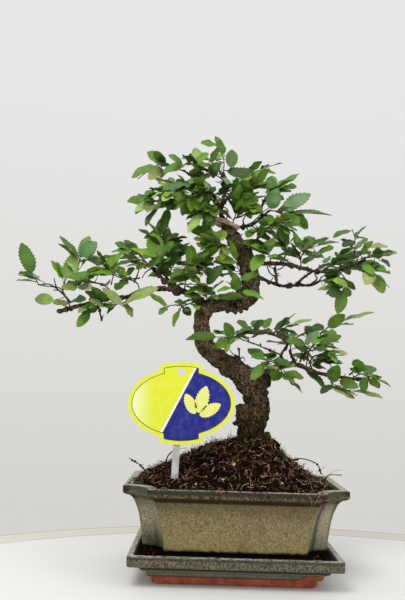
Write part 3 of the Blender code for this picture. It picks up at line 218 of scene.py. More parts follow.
# Sprays: name, stems (column, row, depth), leaves (foot, tip, width as seen), and leaves added by the rule
SPRAYS = (
    ("left_tip",
     (((71, 308, -24.6), (62, 290, -28), (54, 287, -30), (40, 285, -32), (36, 280, -33)),
      ((62, 290, -28), (65, 280, -27))),
     ((32, 273, 23, 243, 15, "M"), (41, 281, 19, 274, 4, "P"), (37, 276, 22, 272, 3),
      (54, 300, 32, 299, 12, "P"),
      (68, 303, 55, 302, 6), (66, 279, 75, 252, 16, "P"), (64, 278, 53, 262, 8),
      (72, 301, 86, 298, 6, "D")), 1),
    ("left_riser",
     (((113, 298, -20), (108, 288, -21), (94, 282, -22), (80, 280, -23), (78, 270, -22), (80, 260, -21)),),
     ((81, 256, 97, 242, 15, "U"), (79, 258, 61, 236, 5), (80, 262, 101, 258, 3), (95, 276, 70, 277, 10),
      (76, 287, 63, 287, 8, "P"), (78, 287, 93, 287, 7, "P")), 2),
    ("left_mid",
     (((140, 291, -15), (136, 282, -17), (121, 278, -16), (112, 274, -15), (105, 267, -14)),),
     ((112, 274, 88, 268, 9), (105, 266, 121, 255, 9)), 3),
    ("left_low",
     (((130, 296, -17.6), (123, 303, -26), (110, 305, -28), (98, 306, -29), (88, 308, -30)),),
     ((109, 299, 93, 294, 6, "D"), (122, 304, 103, 288, 10, "P"), (124, 305, 157, 286, 8, "P"),
      (102, 304, 114, 308, 6, "D"),
      (90, 306, 79, 311, 5, "P")), 1),
    ("left_high_tip",
     (((151, 267, 7), (143, 259, 8), (136, 252, 9), (131, 251, 10)),),
     ((130, 252, 110, 250, 5), (139, 264, 125, 258, 6, "P"), (135, 269, 121, 275, 7, "D"),
      (147, 266, 161, 260, 7)), 2),
    ("left_high",
     (((162, 278, 2), (159, 266, 0), (158, 256, -2), (161, 245, -3), (164, 234, -4)),),
     ((157, 256, 131, 248, 7), (159, 254, 152, 233, 18), (165, 231, 143, 238, 8),
      (161, 256, 173, 242, 8)), 3),
    ("left_inner",
     (((176, 286.6, -3.4), (171, 272, 8), (171, 258, 12), (171, 246, 14)),),
     ((171, 245, 190, 252, 9), (162, 271, 179, 256, 7), (186, 266, 175, 261, 6)), 3),
    ("left_shoulder",
     (((184, 291.6, -7), (186, 280, -14), (190, 272, -16), (196, 266, -17), (203, 268, -18)),),
     ((185, 269, 170, 276, 7), (193, 266, 204, 253, 12), (205, 270, 171, 275, 6, "P"),
      (197, 278, 168, 281, 6.5),
      (177, 292, 159, 297, 8, "P")), 1),
    ("bend_left",
     (((209, 305, -3), (206, 296, -14), (204, 288, -18), (196, 284, -21)),),
     ((205, 287, 184, 292, 6), (215, 295, 201, 293, 6)), 2),
    ("bend_front",
     (((248, 298, 2), (243, 294, -14), (238, 290, -18), (236, 286, -19)),),
     ((243, 297, 213, 298, 8, "B"), (242, 292, 264, 297, 6), (236, 290, 235, 277, 12, "B")), 1),
    ("trunk_right",
     (((249, 276, 1), (243, 274, -14), (238, 268, -17), (236, 262, -18)),),
     ((241, 279, 257, 273, 7), (236, 263, 215, 257, 8), (235, 271, 218, 266, 7)), 1),
    ("trunk_left",
     (((238, 247, 0), (228, 246, -12), (216, 245, -15), (208, 240, -16)),),
     ((213, 245, 198, 245, 7), (222, 230, 222, 241, 11, "Y")), 4),
    ("bend_low",
     (((200, 302, -3), (191, 303, -14), (184, 306, -16), (178, 310, -17)),
      ((184, 306, -16), (176, 305, -17), (168, 306, -18))),
     ((167, 306, 149, 293, 6, "B"), (187, 304, 175, 302, 5, "D"), (184, 308, 191, 315, 9),
      (180, 310, 172, 326, 5)), 0),
    ("crown_top",
     (((223.4, 174, 0), (224, 161, -1), (221, 151, -2)), ((224, 163, -1), (213, 159, -4))),
     ((224, 154, 216, 138, 9, "M"), (231, 168, 232, 145, 13, "D"), (210, 161, 219, 150, 7),
      (216, 144, 201, 142, 6),
      (227, 171, 258, 176, 11, "D")), 0),
    ("crown_top_left",
     (((224, 180, -1), (212, 173, -9), (203, 168, -11), (195, 164, -12), (186, 163, -13)),),
     ((195, 164, 207, 154, 7), (182, 165, 170, 156, 7), (188, 164, 190, 155, 5),
      (212, 170, 221, 164, 7)), 3),
    ("crown_far_left",
     (((183, 170.6, 5), (172, 168, 5), (164, 166, 4), (156, 167, 3)),),
     ((165, 164, 145, 149, 12), (155, 166, 130, 176, 8)), 4),
    ("crown_left",
     (((201, 192.4, -11.6), (190, 189, -15), (176, 190, -17), (166, 191, -18)),),
     ((190, 187, 162, 187, 8, "U"), (164, 191, 150, 186, 6)), 4),
    ("crown_low_left",
     (((193, 201.4, -3), (180, 200, -4), (168, 201, -5), (160, 202, -6), (153, 201, -6)),),
     ((153, 201, 127, 201, 10), (152, 202, 134, 211, 8, "P"), (162, 203, 142, 225, 4),
      (181, 206, 167, 208, 4),
      (170, 200, 157, 192, 8, "D"), (176, 199, 160, 205, 7, "D")), 2),
    ("crown_front",
     (((221, 209, -0.6), (214, 206, -16), (206, 208, -23), (203, 213, -25)),),
     ((205, 209, 183, 212, 9, "B"), (207, 212, 196, 193, 10, "Y"), (205, 212, 219, 203, 8, "B")), 2),
    ("crown_heart",
     (((223, 200, -2), (215, 196, -18), (208, 191, -22), (198, 192, -24), (190, 197, -25)),),
     ((209, 190, 186, 177, 12, "P"), (186, 197, 174, 194, 7)), 5),
    ("crown_right",
     (((224.6, 192, -2), (234, 196, -8), (240, 194, -10), (248, 190, -12), (254, 187, -13)),),
     ((239, 195, 224, 176, 5, "U"), (240, 197, 255, 189, 8, "D"), (254, 187, 265, 183, 4),
      (240, 185, 251, 177, 5, "Y")), 4),
    ("crown_mid_right",
     (((230, 231, 0), (236, 214, -14), (240, 206, -16), (247, 203, -17)),),
     ((238, 206, 258, 200, 7, "B"), (246, 214, 261, 210, 7)), 5),
    ("crown_right_top",
     (((265.4, 198.4, -0.4), (271, 193, 0), (278, 189, 0)),),
     ((278, 189, 301, 169, 8), (267, 191, 276, 185, 7, "D")), 3),
    ("crown_far_right",
     (((269, 210.8, -5.8), (278, 211, -9), (286, 211, -11), (293, 213, -12)),),
     ((282, 210, 310, 194, 15, "U"), (293, 213, 332, 213, 4), (271, 209, 277, 189, 16, "U")), 1),
    ("right_heart",
     (((250, 225.4, 0), (258, 229, -9), (267, 228, -13), (280, 222, -15)),),
     ((267, 225, 272, 212, 11), (258, 236, 265, 224, 8)), 4),
    ("right_rise",
     (((283, 264.4, -8), (285, 255, -12), (285, 246, -14)),),
     ((287, 246, 279, 223, 13), (283, 246, 263, 242, 6), (282, 245, 274, 235, 4, "D")), 1),
    ("right_inner",
     (((270, 263.6, -6.4), (270, 257, -16), (266, 252, -19), (260, 250, -20)),),
     ((267, 254, 252, 245, 7),), 4),
    ("right_mid",
     (((301, 268, -10), (301, 258, -8), (305, 250, -6), (313, 247, -5)),),
     ((302, 262, 312, 258, 6), (318, 252, 332, 248, 6)), 4),
    ("right_top",
     (((320, 272, -12), (330, 266, -9), (344, 262.5, -7), (357, 260, -7)),),
     ((357, 257, 334, 258, 7, "D"),), 4),
    ("right_up",
     (((350, 267, -14), (354, 256, -18), (355, 240, -20), (352, 229, -21)),),
     ((351, 231, 331, 237, 5), (356, 237, 367, 222, 4), (354, 241, 341, 245, 7, "D"),
      (355, 248, 366, 240, 7, "P")), 0),
    ("right_tip",
     (((363, 260.4, -12), (371, 255, -10), (377, 258, -9), (381, 258, -9)),),
     ((377, 258, 378, 248, 11), (382, 255, 394, 252, 5, "P"), (381, 261, 393, 265, 6),
      (375, 265, 386, 271, 6),
      (368, 248, 390, 244, 6, "P"), (362, 254, 370, 243, 7)), 0),
    ("right_tip_low",
     (((357, 263.8, -13), (362, 268, -20), (370, 270, -22), (374, 272, -23)),),
     ((364, 264, 373, 275, 10, "B"), (371, 274, 382, 286, 4), (359, 268, 373, 283, 4, "D")), 1),
    ("right_hang",
     (((338, 270.7, -14), (344, 277, -20), (346, 284, -22), (343, 290, -23)),),
     ((341, 291, 328, 295, 10, "D"), (345, 287, 348, 298, 11), (347, 284, 333, 279, 7, "P")), 1),
    ("right_under",
     (((319, 281.2, 11), (327, 279, 8), (334, 276, 6)),),
     ((325, 284, 344, 268, 5, "P"),), 3),
    ("low_front",
     (((249, 333, -28), (240, 335, -29), (232, 337, -30), (222, 337, -31)),),
     ((216, 337, 186, 337, 9, "D"), (232, 337, 225, 324, 11), (228, 336, 213, 328, 5),
      (236, 340, 212, 347, 10),
      (228, 344, 226, 352, 6, "Y"), (238, 336, 249, 337, 5), (250, 328, 238, 321, 6)), 0),
    ("low_back",
     (((266, 333.4, -26.4), (260, 330, -18), (254, 329, -15)),),
     ((254, 329, 263, 321, 8, "D"), (266, 333, 250, 336, 6)), 2),
    ("low_mid",
     (((274, 336, -25.4), (276, 330, -17), (284, 328, -14)),),
     ((275, 328, 289, 323, 7, "D"),), 4),
    ("low_top",
     (((306, 368, -13), (309, 352, -8), (317, 339, -6), (326, 329, -5), (340, 322, -4)),),
     ((328, 327, 343, 316, 12), (343, 321, 373, 312, 4, "P"), (324, 330, 310, 326, 9),
      (320, 334, 337, 330, 4)), 1),
    ("low_right",
     (((313, 371, -12.2), (308, 356, -20), (312, 347, -22), (318, 345, -23), (328, 351, -24)),),
     ((319, 344, 340, 335, 8), (317, 347, 336, 343, 6), (305, 344, 318, 333, 8, "U"),
      (305, 344, 287, 339, 8),
      (329, 352, 346, 353, 4)), 1),
    ("low_inner",
     (((281, 356, -20), (272, 361, -27), (264, 362, -29)),),
     ((267, 361, 252, 355, 5), (270, 364, 257, 367, 6), (274, 361, 289, 364, 8)), 1),
    ("low_hang",
     (((284, 365.6, -11), (281, 370, -19), (284, 375, -21)),),
     ((278, 370, 273, 380, 13, "B"), (284, 374, 305, 377, 8)), 1),
    ("low_dark",
     (((309, 369, -12.6), (312, 362, -3), (318, 359, 1), (326, 358, 3)),),
     ((305, 370, 327, 388, 8, "D"), (312, 366, 329, 367, 7, "D"), (316, 358, 333, 352, 7)), 3),
    ("low_tip",
     (((330, 375.6, -9.8), (331, 381, -18), (334, 387, -20), (343, 389, -21), (350, 391, -22)),),
     ((331, 381, 338, 366, 14), (340, 381, 355, 386, 11), (331, 385, 320, 393, 7),
      (332, 387, 354, 396, 7, "P"),
      (352, 391, 381, 396, 4, "P")), 0),
    ("low_far",
     (((352, 378.8, -7), (360, 374, -12), (367, 376, -14)),),
     ((353, 372, 362, 368, 6), (368, 376, 383, 377, 4), (360, 373, 350, 368, 5)), 1),
    ("back_crown_right",
     (((237, 186.2, 32.4), (244, 178, 42), (252, 172, 50), (262, 170, 56)),), (), 6),
    ("back_crown_left",
     (((199, 196.8, 32.6), (188, 190, 44), (178, 186, 52), (168, 184, 58)),), (), 6),
    ("back_middle",
     (((259, 237.2, 34), (268, 228, 46), (276, 222, 54), (286, 220, 60)),), (), 6),
    ("back_left",
     (((156, 268.6, 30.6), (145, 262, 40), (135, 258, 46), (124, 258, 50)),), (), 5),
    ("back_right",
     (((311, 272.6, 36.8), (322, 266, 46), (332, 262, 52), (342, 260, 56)),), (), 5),
    ("back_low",
     (((290, 351, 20), (292, 342, 32), (298, 336, 40), (306, 332, 46)),), (), 5),
    ("back_top",
     (((218.4, 168.8, 23), (212, 162, 32), (204, 158, 40)),), (), 4),
)

# Stray roots that stand out of the soil: column, row, depth and thickness at each point
ROOTS = (
    ((288, 468, -6, 2.4), (293, 460, -7, 2), (304, 459, -8, 1.8), (317, 464, -9, 1.6), (321, 474, -10, 1.6)),
    ((322, 484.5, -4, 2), (328, 475.5, -5, 1.6), (342, 475, -6, 1.2)),
    ((146, 481, -6, 2), (145, 470.5, -7, 1.8), (139, 464, -7, 1.4), (129, 458, -8, 1.2)),
    ((165, 475, -20, 2.4), (167, 458, -21, 2), (173, 450.5, -22, 1.4)),
)


def view():
    """Turns the elevation's own axes, right, away and up, to the world's."""
    turn, rise, roll = (Matrix.Rotation(angle, 3, axis)
                        for angle, axis in ((VIEW_TURN, "Z"), (VIEW_RISE, "X"), (VIEW_ROLL, "Y")))
    return turn @ rise @ roll


VIEW = view()


def seen(column, row, depth):
    """The point at this depth, in millimetres, behind a mark of the elevation."""
    ray = VIEW @ Vector((column - MIDDLE[0], REACH, MIDDLE[1] - row))
    return EYE + ray * ((depth * MM - EYE.y) / ray.y)


def mark_of(point):
    """The column and row at which a point shows."""
    ray = VIEW.transposed() @ (point - EYE)
    return Vector((MIDDLE[0] + REACH * ray.x / ray.y, MIDDLE[1] - REACH * ray.z / ray.y))


def scale_at(depth):
    """Metres at this depth, in millimetres, for one unit of the elevation."""
    return (depth * MM - EYE.y) / REACH


def square_to(vector, ahead):
    """What of a direction is square to another."""
    return (vector - ahead * vector.dot(ahead)).normalized()


def point_on(stem, share):
    """A stem's point and direction after this many of its stretches, counted with the part of the last."""
    piece = min(int(share), len(stem) - 2)
    start, end = stem[piece][0], stem[piece + 1][0]
    return start.lerp(end, share - piece), (end - start).normalized()


def stacked(rings):
    """Points and faces of a closed shell through rings of the same count, the first and last capped."""
    count = len(rings[0])
    points = [point for ring in rings for point in ring]
    faces = [tuple(reversed(range(count))), tuple(range(len(points) - count, len(points)))]
    for low in range(0, len(points) - count, count):
        for i in range(count):
            j = (i + 1) % count
            faces.append((low + i, low + j, low + count + j, low + count + i))
    return points, faces


def run_of(marks, wider=0.0):
    """World points and radii of a limb's marks."""
    return [(seen(column, row, depth), thickness / 2 * scale_at(depth) + wider)
            for column, row, depth, thickness in marks]


def tube_shape(run, sides, rough=0.0, seed=0):
    """Points and faces of a limb: rings square to its run, each a little out of round."""
    draw = random.Random(seed)
    rings = []
    across = Vector((0.3, -0.8, 0.5))
    for index, (point, radius) in enumerate(run):
        before, after = run[max(0, index - 1)][0], run[min(len(run) - 1, index + 1)][0]
        ahead = (after - before).normalized()
        across = square_to(across, ahead)
        beside = ahead.cross(across)
        ring = []
        for step in range(sides):
            turn = math.tau * step / sides
            reach = radius * (1 + rough * draw.uniform(-1, 1))
            ring.append(point + across * (reach * math.cos(turn)) + beside * (reach * math.sin(turn)))
        rings.append(ring)
    return stacked(rings)


def limbs():
    """Marks, sides and seed of the trunk's stretches, the stump at its foot and every branch."""
    found = [(marks, TRUNK_SIDES, TRUNK_SEED + index) for index, marks in enumerate(TRUNK_LIMBS)]
    found.append((STUMP, TRUNK_SIDES, STUMP_SEED))
    found += [(marks, THICK_SIDES, THICK_SEED + index) for index, marks in enumerate(THICK_BRANCHES)]
    found += [(marks, THIN_SIDES, THIN_SEED + index) for index, marks in enumerate(THIN_BRANCHES)]
    return found


def leaf_shape(leaf, swell=0.0, stalk=True):
    """Points and faces of a toothed leaf: a fan above and one below that share the edge, and a thin stalk."""
    foot, along, across, up, length, width, root = leaf
    half = width / 2 + swell

    def at(share, beside, rise):
        lift = LEAF_FOLD * abs(beside) - LEAF_DROOP * length * share ** 2 + rise
        return foot + along * (share * length) + across * beside + up * lift

    right = [at(share, -half * reach, 0) for share, reach in LEAF_EDGE]
    left = [at(share, half * reach, 0) for share, reach in LEAF_EDGE]
    ring = [at(0, -STALK - swell, 0), at(0, STALK + swell, 0), at(0, 0, -STALK - swell)]
    points = [ring[0]] + right + [at(1 + swell / length, 0, 0)] + left[::-1] + [ring[1]]
    edge = len(points)
    thick = LEAF_THICKNESS / 2 + swell
    points += [at(LEAF_CENTRE, 0, thick), at(LEAF_CENTRE, 0, -thick), ring[2]]
    over, under, keel = edge, edge + 1, edge + 2
    faces = [(over, i, (i + 1) % edge) for i in range(edge)]
    faces += [(under, i + 1, i) for i in range(edge - 1)]
    faces += [(under, keel, edge - 1), (under, 0, keel)]
    if not stalk:
        return points, faces + [(0, edge - 1, keel)]
    hold = [0, edge - 1, keel]
    stops = [foot, root]
    if (foot - root).dot(along) < STALK_STRAIGHT * (foot - root).length:
        stops.insert(1, foot - along * STALK_BEND)
    ways = [(before - stop).normalized() for before, stop in zip(stops, stops[1:])]
    ways.append(ways[-1])
    ahead, beside, above = along, across, up
    thickness = STALK + swell
    for stop, way, next_way in zip(stops[1:], ways, ways[1:]):
        swing = ahead.rotation_difference(way + next_way)
        ahead, beside, above = swing @ ahead, swing @ beside, swing @ above
        start = len(points)
        points += [stop - beside * thickness, stop + beside * thickness, stop - above * thickness]
        for i in range(3):
            j = (i + 1) % 3
            faces += [(hold[i], hold[j], start + j), (hold[i], start + j, start + i)]
        hold = [start, start + 1, start + 2]
    return points, faces + [tuple(hold)]


def tree_of(points, faces):
    middle = sum(points, Vector()) / len(points)
    reach = max((point - middle).length for point in points)
    return middle, reach, BVHTree.FromPolygons(points, faces)


def meets(one, other):
    if (one[0] - other[0]).length > one[1] + other[1]:
        return False
    return bool(one[2].overlap(other[2]))


def stem_run(marks, bark, joins):
    """A stem's points and radii. One that joins no other grows from the bark, and starts just off it."""
    points = [seen(*mark) for mark in marks]
    last = len(points) - 1
    radii = [STEM_THICK + (STEM_THIN - STEM_THICK) * index / last for index in range(last + 1)]
    if not joins:
        buried, reach = points[0], (points[1] - points[0]).length
        ahead = (points[1] - points[0]) / reach
        for step in range(int(reach / STEM_STEP) - 5, 0, -1):
            start = buried + ahead * (step * STEM_STEP)
            ends = start - ahead * GAP, start + ahead * 5 * STEM_STEP
            wide = tree_of(*tube_shape([(point, STEM_THICK + 2 * GAP) for point in ends], STEM_SIDES))
            if any(meets(wide, limb) for limb in bark):
                break
            points[0] = start
    return list(zip(points, radii))


def nearest_on(stems, column, row):
    """The stems' point that shows nearest to a mark."""
    best = None
    for stem in stems:
        for (start, _), (end, _) in zip(stem, stem[1:]):
            for step in range(1, 9):
                point = start.lerp(end, (step - 0.4) / 8)
                away = (mark_of(point) - Vector((column, row))).length
                if best is None or away < best[0]:
                    best = (away, point)
    return best[1]


def drawn_leaf(mark, stems, draw, turn):
    """The leaf behind a drawn one. It leans out of the drawing as far as its real length needs."""
    column, row, tip_column, tip_row, seen_width = mark[:5]
    run = math.hypot(tip_column - column, tip_row - row)
    back = Vector((column - tip_column, row - tip_row)) * (3 / run)
    root = nearest_on(stems, column + back.x, row + back.y)
    depth = root.y / MM - 1.5 + (draw.uniform(-1.2, 1.2) * turn if turn else 0)
    scale = scale_at(depth)
    run *= scale
    length = max(run * LEAF_LONGER, min(run * LEAF_LEANS_MOST, LEAF_TYPICAL))
    lean = math.sqrt(length ** 2 - run ** 2) / MM * (1 if draw.random() < LEAF_TOWARD_EYE else -1)
    foot = seen(column, row, depth)
    along = (seen(tip_column, tip_row, depth - lean) - foot).normalized()
    width = max(LEAF_SLIMMEST * length, seen_width * scale)
    face = min(1, seen_width * scale / width) * (1 if turn < 5 else draw.uniform(0.7, 1))
    toward = square_to(EYE - foot, along)
    other = along.cross(toward) * math.sqrt(1 - face ** 2)
    up = toward * face + (other if other.z > 0 else -other)
    return foot, along, up.cross(along), up, length, width, root


def grown_leaf(stems, index, count, draw):
    """A leaf by the rule: along the stem, to its two sides in turn, more or less level."""
    stem = stems[0]
    root, ahead = point_on(stem, (index + 0.9) / count * (len(stem) - 1))
    level = Vector((draw.gauss(0, RULE_TILT), draw.gauss(-RULE_TILT, RULE_TILT), 1)).normalized()
    side = ahead.cross(level) * (1 if index % 2 else -1)
    along = ahead * draw.uniform(*RULE_AHEAD) + side * (0.25 if index == count - 1 else 1)
    along = (along + Vector((0, 0, draw.uniform(*RULE_RISE)))).normalized()
    up = square_to(level, along)
    length = draw.uniform(*RULE_LENGTH)
    foot = root + along * draw.uniform(*RULE_STALK)
    return foot, along, up.cross(along), up, length, length * draw.uniform(*RULE_WIDTH), root


def lay_out():
    """Each spray's stems and leaves, with each leaf's tone. A leaf that would meet another spray's is drawn
    again or left out, as it is for the solids."""
    bark = [tree_of(*tube_shape(run_of(marks), sides, BARK_ROUGH, seed)) for marks, sides, seed in limbs()]
    plan = []
    for name, stems, marks, extra in SPRAYS:
        runs = [stem_run(stem, bark, joins=index > 0) for index, stem in enumerate(stems)]
        wide = [[(point, radius + CLEARANCE) for point, radius in run] for run in runs]
        solids = [tree_of(*tube_shape(run, STEM_SIDES)) for run in wide]
        plan.append((name, runs, [], solids, [], marks, extra))
    for number, (name, runs, leaves, solids, blades, marks, extra) in enumerate(plan):
        draw = random.Random(SPRAY_SEED + number)
        others = bark + [tree for other in plan if other[0] != name for tree in other[3]]
        for index in range(len(marks) + extra):
            spare = None
            for turn in range(TRIES):
                if index < len(marks):
                    leaf = drawn_leaf(marks[index], runs, draw, turn)
                else:
                    leaf = grown_leaf(runs, index - len(marks), extra, draw)
                wide = tree_of(*leaf_shape(leaf, CLEARANCE))
                if any(meets(wide, tree) for tree in others):
                    continue
                spare = spare or leaf
                blade = tree_of(*leaf_shape(leaf, 0, stalk=False))
                if not any(meets(blade, tree) for tree in blades + solids):
                    spare = leaf
                    break
            if spare:
                mark = marks[index] if index < len(marks) else ()
                tone = mark[5] if len(mark) > 5 else USUAL_TONES[index % len(USUAL_TONES)]
                leaves.append((spare, tone))
                solids.append(tree_of(*leaf_shape(spare)))
                blades.append(tree_of(*leaf_shape(spare, 0, stalk=False)))
    return [(name, runs, leaves) for name, runs, leaves, *_ in plan]


def alone(obj):
    """Selects this object and nothing else."""
    bpy.ops.object.select_all(action="DESELECT")
    obj.select_set(True)
    bpy.context.view_layer.objects.active = obj


def shown(name, data):
    """A new object for this data, in the scene."""
    obj = bpy.data.objects.new(name, data)
    bpy.context.scene.collection.objects.link(obj)
    return obj


def start_edit(obj, mode="VERT"):
    alone(obj)
    bpy.ops.object.mode_set(mode="EDIT")
    bpy.ops.mesh.select_mode(type=mode)


def end_edit():
    bpy.ops.object.mode_set(mode="OBJECT")


def middle_of(part):
    """A vertex's place, or the middle of an edge or a face."""
    if isinstance(part, bmesh.types.BMVert):
        return part.co
    return sum((vert.co for vert in part.verts), Vector()) / len(part.verts)


def choose(obj, kind, wanted):
    """In edit mode, selects only the wanted verts, edges or faces: by place, or by number in a set."""
    bpy.ops.mesh.select_all(action="DESELECT")
    shape = bmesh.from_edit_mesh(obj.data)
    for part in getattr(shape, kind):
        if part.index in wanted if isinstance(wanted, set) else wanted(middle_of(part)):
            part.select_set(True)
    shape.select_flush_mode()
    bmesh.update_edit_mesh(obj.data)


def chosen(obj, kind):
    shape = bmesh.from_edit_mesh(obj.data)
    shape.verts.index_update()
    return {part.index for part in getattr(shape, kind) if part.select}


def finish_with(obj, kind, **settings):
    """Adds a modifier with these settings and applies it."""
    alone(obj)
    modifier = obj.modifiers.new(kind.lower(), kind)
    for name, value in settings.items():
        setattr(modifier, name, value)
    bpy.ops.object.modifier_apply(modifier=modifier.name)


def named(obj, name):
    obj.name = obj.data.name = name
    return obj


def wear(obj, *finishes):
    """Gives the object these finishes, in place of any it had."""
    obj.data.materials.clear()
    for finish in finishes:
        obj.data.materials.append(finish)
    return obj


def join(pieces, name):
    """Joins the pieces into the first."""
    bpy.ops.object.select_all(action="DESELECT")
    for piece in pieces:
        piece.select_set(True)
    bpy.context.view_layer.objects.active = pieces[0]
    bpy.ops.object.join()
    return named(pieces[0], name)


def shade(obj, angle=40):
    alone(obj)
    bpy.ops.object.shade_smooth_by_angle(angle=math.radians(angle))
    return obj


def framed(x_axis, y_axis, z_axis, place):
    """The matrix that turns a thing to these axes and puts it at this place."""
    matrix = Matrix((x_axis, y_axis, z_axis)).transposed().to_4x4()
    matrix.translation = place
    return matrix


def settle(obj):
    """Puts the object's place and turn into its mesh."""
    alone(obj)
    bpy.ops.object.transform_apply(location=True, rotation=True, scale=True)
    return obj


def smoothed(stops, steps):
    """More stops along a run, on a smooth curve through its own. Stops are vectors of any size."""
    ends = [stops[0] * 2 - stops[1], *stops, stops[-1] * 2 - stops[-2]]
    fine = []
    for before, start, end, after in zip(ends, ends[1:], ends[2:], ends[3:]):
        for step in range(steps):
            t = step / steps
            bend = before * 2 - start * 5 + end * 4 - after
            twist = start * 3 - before - end * 3 + after
            fine.append((start * 2 + (end - before) * t + bend * t ** 2 + twist * t ** 3) * 0.5)
    return fine + [stops[-1]]


def smooth_run(run, steps=5):
    """A smooth run of points and radii through these."""
    stops = smoothed([Vector((*point, radius)) for point, radius in run], steps)
    return [(Vector(stop[:3]), stop[3]) for stop in stops]


def tubes(name, runs, roundness=0):
    """One piece of closed round tubes along runs of points and radii. Roundness 0 gives them four sides."""
    curve = bpy.data.curves.new(name, "CURVE")
    curve.dimensions = "3D"
    curve.bevel_depth = 1
    curve.bevel_resolution = roundness
    curve.use_fill_caps = True
    for run in runs:
        spline = curve.splines.new("POLY")
        spline.points.add(len(run) - 1)
        for place, (point, radius) in zip(spline.points, run):
            place.co = (*point, 1)
            place.radius = radius
    alone(shown(name, curve))
    bpy.ops.object.convert(target="MESH")
    return named(bpy.context.view_layer.objects.active, name)


def scattered(name, models, spots):
    """One piece of many copies. A spot is a model's number and its copy's matrix."""
    gathered = bmesh.new()
    for number, matrix in spots:
        copy = models[number].data.copy()
        copy.transform(matrix)
        gathered.from_mesh(copy)
        bpy.data.meshes.remove(copy)
    mesh = bpy.data.meshes.new(name)
    gathered.to_mesh(mesh)
    gathered.free()
    return shown(name, mesh)


def roughen(obj, name, grain, strength, middle=0.5):
    """Lifts and sinks the surface by a cloudy pattern of this grain."""
    texture = bpy.data.textures.new(name, "CLOUDS")
    texture.noise_scale = grain
    finish_with(obj, "DISPLACE", texture=texture, strength=strength, mid_level=middle, texture_coords="LOCAL")


def ball(radius, place, draw, squash, turned=True):
    """A ball squashed within these shares along each axis, and turned at random."""
    bpy.ops.mesh.primitive_ico_sphere_add(subdivisions=2, radius=radius, location=place)
    made = bpy.context.object
    if turned:
        made.rotation_euler = [draw.uniform(0, 3) for _ in range(3)]
    made.scale = [draw.uniform(*squash) for _ in range(3)]
    return settle(made)


def discard(*pieces):
    for piece in pieces:
        bpy.data.objects.remove(piece)


def linear(level):
    return level / 12.92 if level <= 0.04045 else ((level + 0.055) / 1.055) ** 2.4


def dye(red, green, blue):
    """A colour, given as it looks, 0 to 255."""
    return (linear(red / 255), linear(green / 255), linear(blue / 255), 1)


class Value:
    """A socket in a finish, with the arithmetic that the finishes are written in."""

    def __init__(self, finish, socket):
        self.finish = finish
        self.socket = socket

    def math(self, operation, *others):
        values = dict(enumerate((self, *others)))
        return self.finish.node("Math", {"operation": operation}, values)

    def __add__(self, other):
        return self.math("ADD", other)

    __radd__ = __add__

    def __mul__(self, other):
        return self.math("MULTIPLY", other)

    __rmul__ = __mul__

    def __sub__(self, other):
        return self.math("SUBTRACT", other)

    def __rsub__(self, other):
        return self.finish.node("Math", {"operation": "SUBTRACT"}, {0: other, 1: self})

    def __abs__(self):
        return self.math("ABSOLUTE")


class Finish:
    """A material, built up from nodes."""

    def __init__(self, name):
        self.material = bpy.data.materials.new(name)
        self.material.use_nodes = True
        self.tree = self.material.node_tree
        self.surface = self.tree.nodes["Principled BSDF"]

    def node(self, kind, settings, inputs, output=0):
        """Adds a node: its settings first, then the values or links of its sockets."""
        made = self.tree.nodes.new("ShaderNode" + kind)
        for name, value in settings.items():
            setattr(made, name, value)
        for name, value in inputs.items():
            self.feed(made.inputs[name], value)
        return Value(self, made.outputs[output])

    def feed(self, socket, value):
        if isinstance(value, Value):
            self.tree.links.new(value.socket, socket)
        else:
            socket.default_value = value

    def place(self, stretch=(1, 1, 1), turn=(0, 0, 0)):
        """The point in the piece's own space, stretched and turned."""
        place = self.node("TexCoord", {}, {}, "Object")
        return self.node("Mapping", {}, {"Vector": place, "Rotation": turn, "Scale": stretch})

    def split(self, vector):
        return [self.node("SeparateXYZ", {}, {0: vector}, axis) for axis in range(3)]

    def noise(self, place, grain, detail=2.0, roughness=0.5, warp=0.0):
        """Noise from 0 to 1, whose lumps are about as wide as the grain, in metres."""
        inputs = {"Vector": place, "Scale": 1 / grain, "Detail": detail, "Roughness": roughness,
                  "Distortion": warp}
        return self.node("TexNoise", {}, inputs)

    def cells(self, place, grain, feature="F1"):
        """Distance to the nearest of points that lie about a grain apart, 0 to about 1."""
        return self.node("TexVoronoi", {"feature": feature}, {"Vector": place, "Scale": 1 / grain})

    def rise(self, value, low, high):
        """0 below low, 1 above high, smooth between."""
        inputs = {0: value, 1: low, 2: high, 3: 0.0, 4: 1.0}
        return self.node("MapRange", {"interpolation_type": "SMOOTHSTEP"}, inputs)

    def mix(self, share, under, over):
        """The under colour, with a share of the over colour on it."""
        return self.node("Mix", {"data_type": "RGBA"}, {0: share, 6: under, 7: over}, 2)

    def coated(self, colour, coats):
        """The colour under these coats, the lowest first. A coat is its share and its tone."""
        for share, tone in coats:
            colour = self.mix(share, colour, dye(*tone))
        return colour

    def scaled(self, colour, amount):
        """A colour made lighter or darker by a changing amount."""
        return self.node("VectorMath", {"operation": "SCALE"}, {0: colour, "Scale": amount})

    def relief(self, height, depth, under=None):
        """A normal for a surface whose height changes, by this depth at most."""
        inputs = {"Height": height, "Distance": depth, "Strength": 1.0}
        if under:
            inputs["Normal"] = under
        return self.node("Bump", {}, inputs)

    def finished(self, **sockets):
        """The material, with these values or links on its surface's sockets."""
        for name, value in sockets.items():
            self.feed(self.surface.inputs[name.replace("_", " ")], value)
        return self.material


